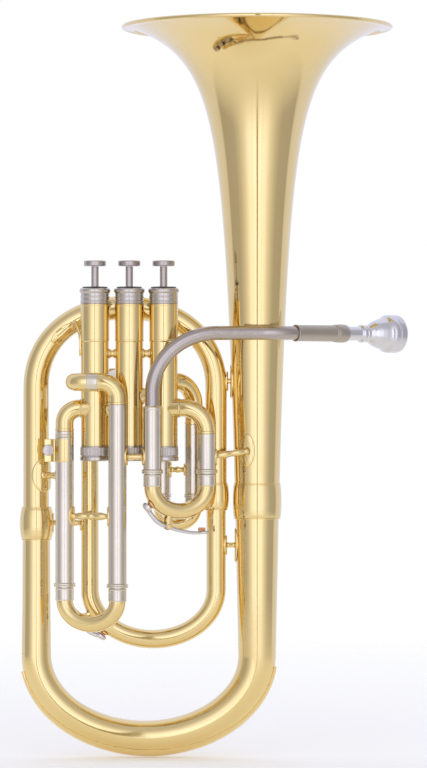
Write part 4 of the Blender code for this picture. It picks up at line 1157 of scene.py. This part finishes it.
def make_lyre_holder():
    """A clamp plate on the tube, and beside it a square socket for the lyre's foot."""
    leg = THIRD_LEGS[0]
    bottom = low("lyre_holder").z
    top = high("lyre_holder").z
    profile = [(7.25, bottom), (8.0, bottom), (8.1, bottom + 0.4), (8.1, top - 0.4)]
    profile += [(8.0, top), (7.25, top)]
    clamp = wrapped("clamp", profile, level(leg, 0), CLAMP_START, CLAMP_STOP)
    left_x = low("lyre_holder").x
    right_x = left_x + 9.6
    hole_x = left_x + 3.3
    outer = square_loop((left_x + right_x) / 2, leg.y, 9.6, 7.4, 0.7)
    inner = square_loop(hole_x, leg.y, 5.0, 5.0, 0.3)
    heights = ((bottom + 0.2, -0.3), (bottom + 0.5, 0), (top - 0.5, 0), (top - 0.2, -0.3))
    rings = [grown_loop(outer, grow, height) for height, grow in heights]
    rings += [grown_loop(inner, -grow, height) for height, grow in heights[::-1]]
    box = skin("square_socket", rings, closed=True)
    piece(joined("lyre_clamp", clamp, box), BRASS, node="lyre_holder")
    screw = Vector((hole_x, leg.y, middle("lyre_screw").z))
    far = leg.y - low("lyre_screw").y
    head = far - 3.2
    knob = [(0, far), (3.6, far - 0.02), (4.0, far - 0.25), (4.2, far - 0.6), (4.25, far - 1.2)]
    knob += [(4.25, head + 0.6), (3.7, head), (1.4, head), (1.4, 2.6), (0, 2.6)]
    turned_knob = lathe("lyre_knob", knob, screw, FRONT, 0.2, 48)
    boss = [(1.45, 3.6), (2.9, 3.6), (2.9, 5.0), (2.3, 5.6), (1.45, 5.6)]
    piece(turned_knob, VALVE_NICKEL, "lyre_screw", "lyre_screw")
    piece(lathe("lyre_boss", boss, screw, FRONT, 0.15, 40), BRASS)


def square_loop(x, y, width, depth, corner):
    """A rounded rectangle as a loop of (x, y, outward x, outward y)."""
    loop = []
    for k, (sx, sy) in enumerate(((1, 1), (-1, 1), (-1, -1), (1, -1))):
        for i in range(7):
            angle = math.radians(90 * k + 15 * i)
            cx = math.cos(angle)
            cy = math.sin(angle)
            at_x = x + sx * (width / 2 - corner) + corner * cx
            at_y = y + sy * (depth / 2 - corner) + corner * cy
            loop.append((at_x, at_y, cx, cy))
    return loop


def grown_loop(loop, grow, height):
    return [Vector((x + cx * grow, y + cy * grow, height)) for x, y, cx, cy in loop]


# Water keys


def in_plane(origin, across, spot):
    return origin + across * spot[0] + UP * spot[1]


def bow_point(centre, half_width, depth, angle):
    """A point (distance, height) on a half ellipse, and its outward direction."""
    turn = math.radians(angle)
    spot = (centre[0] - half_width * math.cos(turn), centre[1] - depth * math.sin(turn))
    normal = Vector((-math.cos(turn) / half_width, -math.sin(turn) / depth)).normalized()
    return spot, normal


def smooth_path(points, count=6):
    """A Catmull-Rom curve through the points."""
    made = []
    for i in range(len(points) - 1):
        p0 = points[max(i - 1, 0)]
        p1 = points[i]
        p2 = points[i + 1]
        p3 = points[min(i + 2, len(points) - 1)]
        for k in range(count):
            t = k / count
            made.append(
                (p1 * 2 + (p2 - p0) * t + (p0 * 2 - p1 * 5 + p2 * 4 - p3) * t**2
                 + (p1 * 3 - p0 - p2 * 3 + p3) * t**3) / 2
            )
    return made + [points[-1]]


def key_seat(prefix, side, hinge, near, mouth, core, tube_r, body):
    """Two ears with a screw through them, and a drain nipple."""
    inwards = (near - hinge).normalized()
    reach = (near - hinge).length - tube_r
    turn = Matrix((side, inwards.cross(side), inwards)).transposed()
    items = []
    offset = 3.8
    for sign in (-1, 1):
        spot = hinge + side * sign * offset
        disc = [(0, -0.6), (2.2, -0.6), (2.2, 0.6), (0, 0.6)]
        items.append(lathe(f"{prefix}_eye_{sign}", disc, spot, side, 0.2, 32))
        plate = spot + inwards * (reach + 1.6) / 2
        items.append(block(f"{prefix}_ear_{sign}", plate, (1.2, 4.2, reach + 1.6), turn))
        head = [(0, 0.6), (1.9, 0.6), (1.9, 1.3), (1.4, 1.7), (0, 1.7)]
        items.append(lathe(f"{prefix}_head_{sign}", head, spot, side * sign, 0.15, 28))
    pin = side * (offset + 0.5)
    items.append(rod(prefix + "_pin", [hinge - pin, hinge + pin], [0.8, 0.8], 16))
    outwards = (mouth - core).normalized()
    length = (mouth - core).length
    profile = [(1.4, length), (2.2, length), (2.6, length - 0.4), (2.6, tube_r + 0.9)]
    profile += [(3.4, tube_r + 0.2), (3.4, tube_r - 0.6), (1.4, tube_r - 0.6)]
    items.append(lathe(prefix + "_nipple", profile, core, outwards, 0.15, 36))
    piece(joined(prefix + "_seat", *items), BRASS, body)


def water_key(name, node, side, hinge, points, mouth, core):
    """A lever on a barrel, with a cup and its cork over the drain, and a finger pad."""
    points = smooth_path(points)
    count = len(points)
    shares = [i / (count - 1) for i in range(count)]
    radii = [1.1 + 1.0 * math.sin(math.pi * share**0.6) * (1 - share * 0.7) for share in shares]
    items = [rod(name + "_lever", points, radii, 20)]
    barrel = [(1.0, -2.9), (2.1, -2.9), (2.3, -2.6), (2.0, -2.0), (2.0, 2.0), (2.3, 2.6)]
    barrel += [(2.1, 2.9), (1.0, 2.9)]
    items.append(lathe(name + "_barrel", barrel, hinge, side, 0.15, 36))
    outwards = (mouth - core).normalized()
    cup = [(0, 4.3), (1.6, 4.2), (3.2, 3.7), (4.2, 2.8), (4.4, 1.0), (4.1, 1.0), (3.9, 1.9)]
    items.append(lathe(name + "_cup", cup + [(0, 1.9)], mouth, outwards, 0.2, 40))
    tip = points[-1]
    press = (points[-1] - points[-2]).normalized().cross(side)
    finger = [(0, 1.0), (2.4, 0.85), (3.7, 1.1), (4.3, 0.5), (4.4, -0.3), (3.9, -1.0), (0, -1.1)]
    items.append(lathe(name + "_pad", finger, tip, press, 0.25, 40))
    piece(joined(name, *items), SILVER, node, node)
    plug = [(0, 1.95), (3.8, 1.95), (3.8, 0.75), (3.4, 0.45), (0, 0.45)]
    piece(lathe(name + "_cork", plug, mouth, outwards, 0.2, 36), CORK, node)


def key_spring(name, hinge, side, towards, away, body):
    """A few turns of thin wire round the barrel's end, with a leg along the lever."""
    points = []
    for i in range(3 * 16 + 1):
        angle = 2 * math.pi * i / 16
        spin = towards * math.cos(angle) + towards.cross(side) * math.sin(angle)
        points.append(hinge + side * (-1.6 + 1.1 * i / 16) + spin * 2.5)
    points.append(hinge + side * 1.7 + away * 9 + towards * 1.9)
    piece(rod(name, points, [0.3] * len(points), 10), STEEL, body)


def drain(kind, origin, across, bow, place, pivot, lever, body, spring_ways):
    """A key's seat, the key and its spring, in the upright plane through origin and across.

    bow is (centre, half width, depth, tube radius). place is (angle of the drain, angle of the
    seat's foot, height of the nipple above the tube's centre line).
    """
    *ellipse, tube_r = bow
    angle, foot_angle, rise = place
    core, out = bow_point(*ellipse, angle)
    near, _ = bow_point(*ellipse, foot_angle)
    nipple = (core[0] + out.x * rise, core[1] + out.y * rise)
    cup_back = (nipple[0] + out.x * 2.6, nipple[1] + out.y * 2.6)
    spots = [in_plane(origin, across, spot) for spot in (pivot, near, nipple, core, cup_back)]
    hinge, near, mouth, core, cup_back = spots
    path = [cup_back] + [in_plane(origin, across, spot) for spot in lever]
    side = across.cross(UP).normalized()
    key_seat(f"{kind}_key", side, hinge, near, mouth, core, tube_r, body)
    water_key(f"{kind}_drain_key", f"{kind}_water_key", side, hinge, path, mouth, core)
    key_spring(f"{kind}_key_spring", hinge, *spring_ways, body)


def make_tuning_key():
    left, right = TUNING_LEGS
    across = (right - left).normalized()
    half = (right - left).length / 2
    bow = ((half, TUNING_BOW[0]), half, TUNING_BOW[1], SLIDE_R)
    pivot = (12.1, 175.0)
    lever = [(2.6, 180.2), (7.5, 176.6), pivot, (20, 172.2), (32, 170.0), (41, 170.2)]
    ways = (across.cross(UP).normalized(), UP, across)
    drain("tuning", left, across, bow, (33, 66, 7.6), pivot, lever, "tuning_slide", ways)
    bumper = in_plane(left, across, (39.4, 170.9))
    stop = [(0, 0.4), (2.6, 0.4), (2.8, 0.8), (2.6, 2.9), (0, 2.9)]
    piece(lathe("tuning_key_bumper", stop, bumper, UP, 0.25, 32), CORK, "tuning_water_key")


def make_bow_key():
    bow = ((SMALL_CENTRE.x, SMALL_CENTRE.z), SMALL_HALF_WIDTH, SMALL_DEPTH, 6.75)
    pivot = (-50.5, 104.8)
    lever = [(-42.5, 94.2), (-47.5, 99.8), pivot, (-55.5, 110), (-59.6, 119)]
    ways = (BACK, LEFT, Vector((-0.5, 0, 0.85)).normalized())
    drain("bow", Vector(), RIGHT, bow, (46, 28, 8.2), pivot, lever, "root", ways)


def paint_carried_nodes():
    """The pistons and their guides keep their solid shapes and get a lapped-metal finish."""
    for number in (1, 2, 3):
        for kind in ("piston", "guide"):
            solid = bpy.data.objects[f"valve_{number}_{kind}"]
            solid.data.materials.clear()
            solid.data.materials.append(LAPPED)


# Studio


def make_floor():
    """A pale floor that fades away with distance from the horn."""
    made = Recipe("pale_floor")
    size = made.add("VectorMath")
    size.operation = "LENGTH"
    made.put(made.where, size.inputs[0])
    fade = made.span(size.outputs["Value"], 0.3, 1.4, 1.0, 0.0)
    shape = bmesh.new()
    bmesh.ops.create_circle(shape, cap_ends=True, segments=96, radius=2.4)
    floor = shown("studio_floor", shape)
    floor.data.materials.append(made.finish(
        Base_Color=(0.97, 0.95, 0.85, 1),
        Emission_Color=(1.0, 0.98, 0.95, 1),
        Emission_Strength=0.2,
        Roughness=0.7,
        Alpha=fade,
    ))
    floor.location.z = low("bow_guard").z * MM - 0.0008


# The studio round the horn by turn away from the front: (degrees, brightness, tint)
COOL = (0.98, 1.02, 1.3)
PLAIN = (1.0, 1.01, 1.16)
WARM = (1.0, 0.9, 0.7)
PALE = (0.98, 1.02, 1.26)
FRONT_PANELS = (
    (0.0, 0.42, WARM), (1.5, 0.42, WARM), (2.6, 1.42, COOL), (12.0, 1.42, COOL),
    (13.0, 1.0, PLAIN), (14.2, 1.36, COOL), (24.0, 1.25, COOL), (36.0, 0.92, PLAIN),
    (50.0, 0.66, PLAIN), (64.0, 0.5, PLAIN), (96.0, 0.47, PLAIN), (102.0, 0.76, PALE),
    (115.0, 0.8, PALE), (150.0, 0.82, PALE), (180.0, 0.85, PALE),
)
OUTER_WALLS = (
    (0.0, 0.64, PLAIN), (60.0, 0.58, PLAIN), (94.0, 0.58, PLAIN), (102.0, 0.8, PALE),
    (180.0, 0.9, PALE),
)


def make_world():
    """Two wide soft panels with a thin dark gap between them in front, and paler walls behind."""
    world = bpy.data.worlds.new("studio")
    bpy.context.scene.world = world
    made = Tree(world)
    way = made.add("TexCoord").outputs["Generated"]
    parts = made.add("SeparateXYZ", Vector=way).outputs
    towards = made.calculate("MULTIPLY", parts["Y"], -1)
    turn = made.calculate("ARCTAN2", parts["X"], towards)
    share = made.calculate("DIVIDE", made.calculate("ABSOLUTE", turn), math.pi)
    steep = made.calculate("ABSOLUTE", parts["Z"])
    steep = made.add("MapRange", Value=steep, From_Min=0.25, From_Max=0.85)
    steep.interpolation_type = "SMOOTHSTEP"
    mix = made.add("Mix")
    mix.data_type = "RGBA"
    made.put(steep.outputs["Result"], mix.inputs[0])
    colours = [place for place in mix.inputs if place.type == "RGBA"]
    for place, panels in zip(colours, (FRONT_PANELS, OUTER_WALLS)):
        stops = []
        for turned, bright, tint in panels:
            stops.append((turned / 180, [bright * part for part in tint]))
        made.put(made.ramp(share, stops), place)
    glow = made.nodes["Background"]
    made.put([place for place in mix.outputs if place.type == "RGBA"][0], glow.inputs["Color"])
    plain = made.add("Background", Color=(1.0, 1.0, 1.0, 1))
    chosen = made.add("MixShader", Fac=made.add("LightPath").outputs["Is Camera Ray"])
    made.put(glow.outputs[0], chosen.inputs[1])
    made.put(plain.outputs[0], chosen.inputs[2])
    made.put(chosen.outputs[0], made.nodes["World Output"].inputs["Surface"])


LENS = 181.3  # millimetres, on the sensor width below
SENSOR_WIDTH = 36
CAMERA_PLACE = (0.051, -2.920, 0.2812)  # metres


def make_camera():
    """Level with the leadpipe's foot, looking straight at the valves."""
    data = bpy.data.cameras.new("camera")
    data.sensor_width = SENSOR_WIDTH
    data.lens = LENS
    data.clip_end = 100
    camera = bpy.data.objects.new("camera", data)
    camera.location = CAMERA_PLACE
    camera.rotation_euler = (math.radians(90), 0, 0)
    bpy.context.scene.collection.objects.link(camera)
    bpy.context.scene.camera = camera


def main():
    bpy.context.scene.view_settings.view_transform = "Standard"
    make_camera()
    make_world()
    make_floor()
    make_bell()
    sleeve("bell_joint_sleeve", "bell_ferrule", 17.4, 17.75, 18.5)
    make_bottom_bow()
    make_bow_guard()
    make_top_bow()
    sleeve("left_joint_sleeve", "left_ferrule", 10.9, 11.35, 12.7)
    sleeve("right_joint_sleeve", "right_ferrule", 8.4, 8.8, 9.8)
    make_small_bow()
    make_casings()
    for number in (1, 2, 3):
        make_top_cap(number)
        make_bottom_cap(number)
        make_stem(number)
        make_spring(number)
    make_tuning()
    make_third()
    make_first()
    make_second()
    make_mouthpiece(*make_leadpipe())
    make_braces()
    make_lyre_holder()
    make_tuning_key()
    make_bow_key()
    paint_carried_nodes()


main()
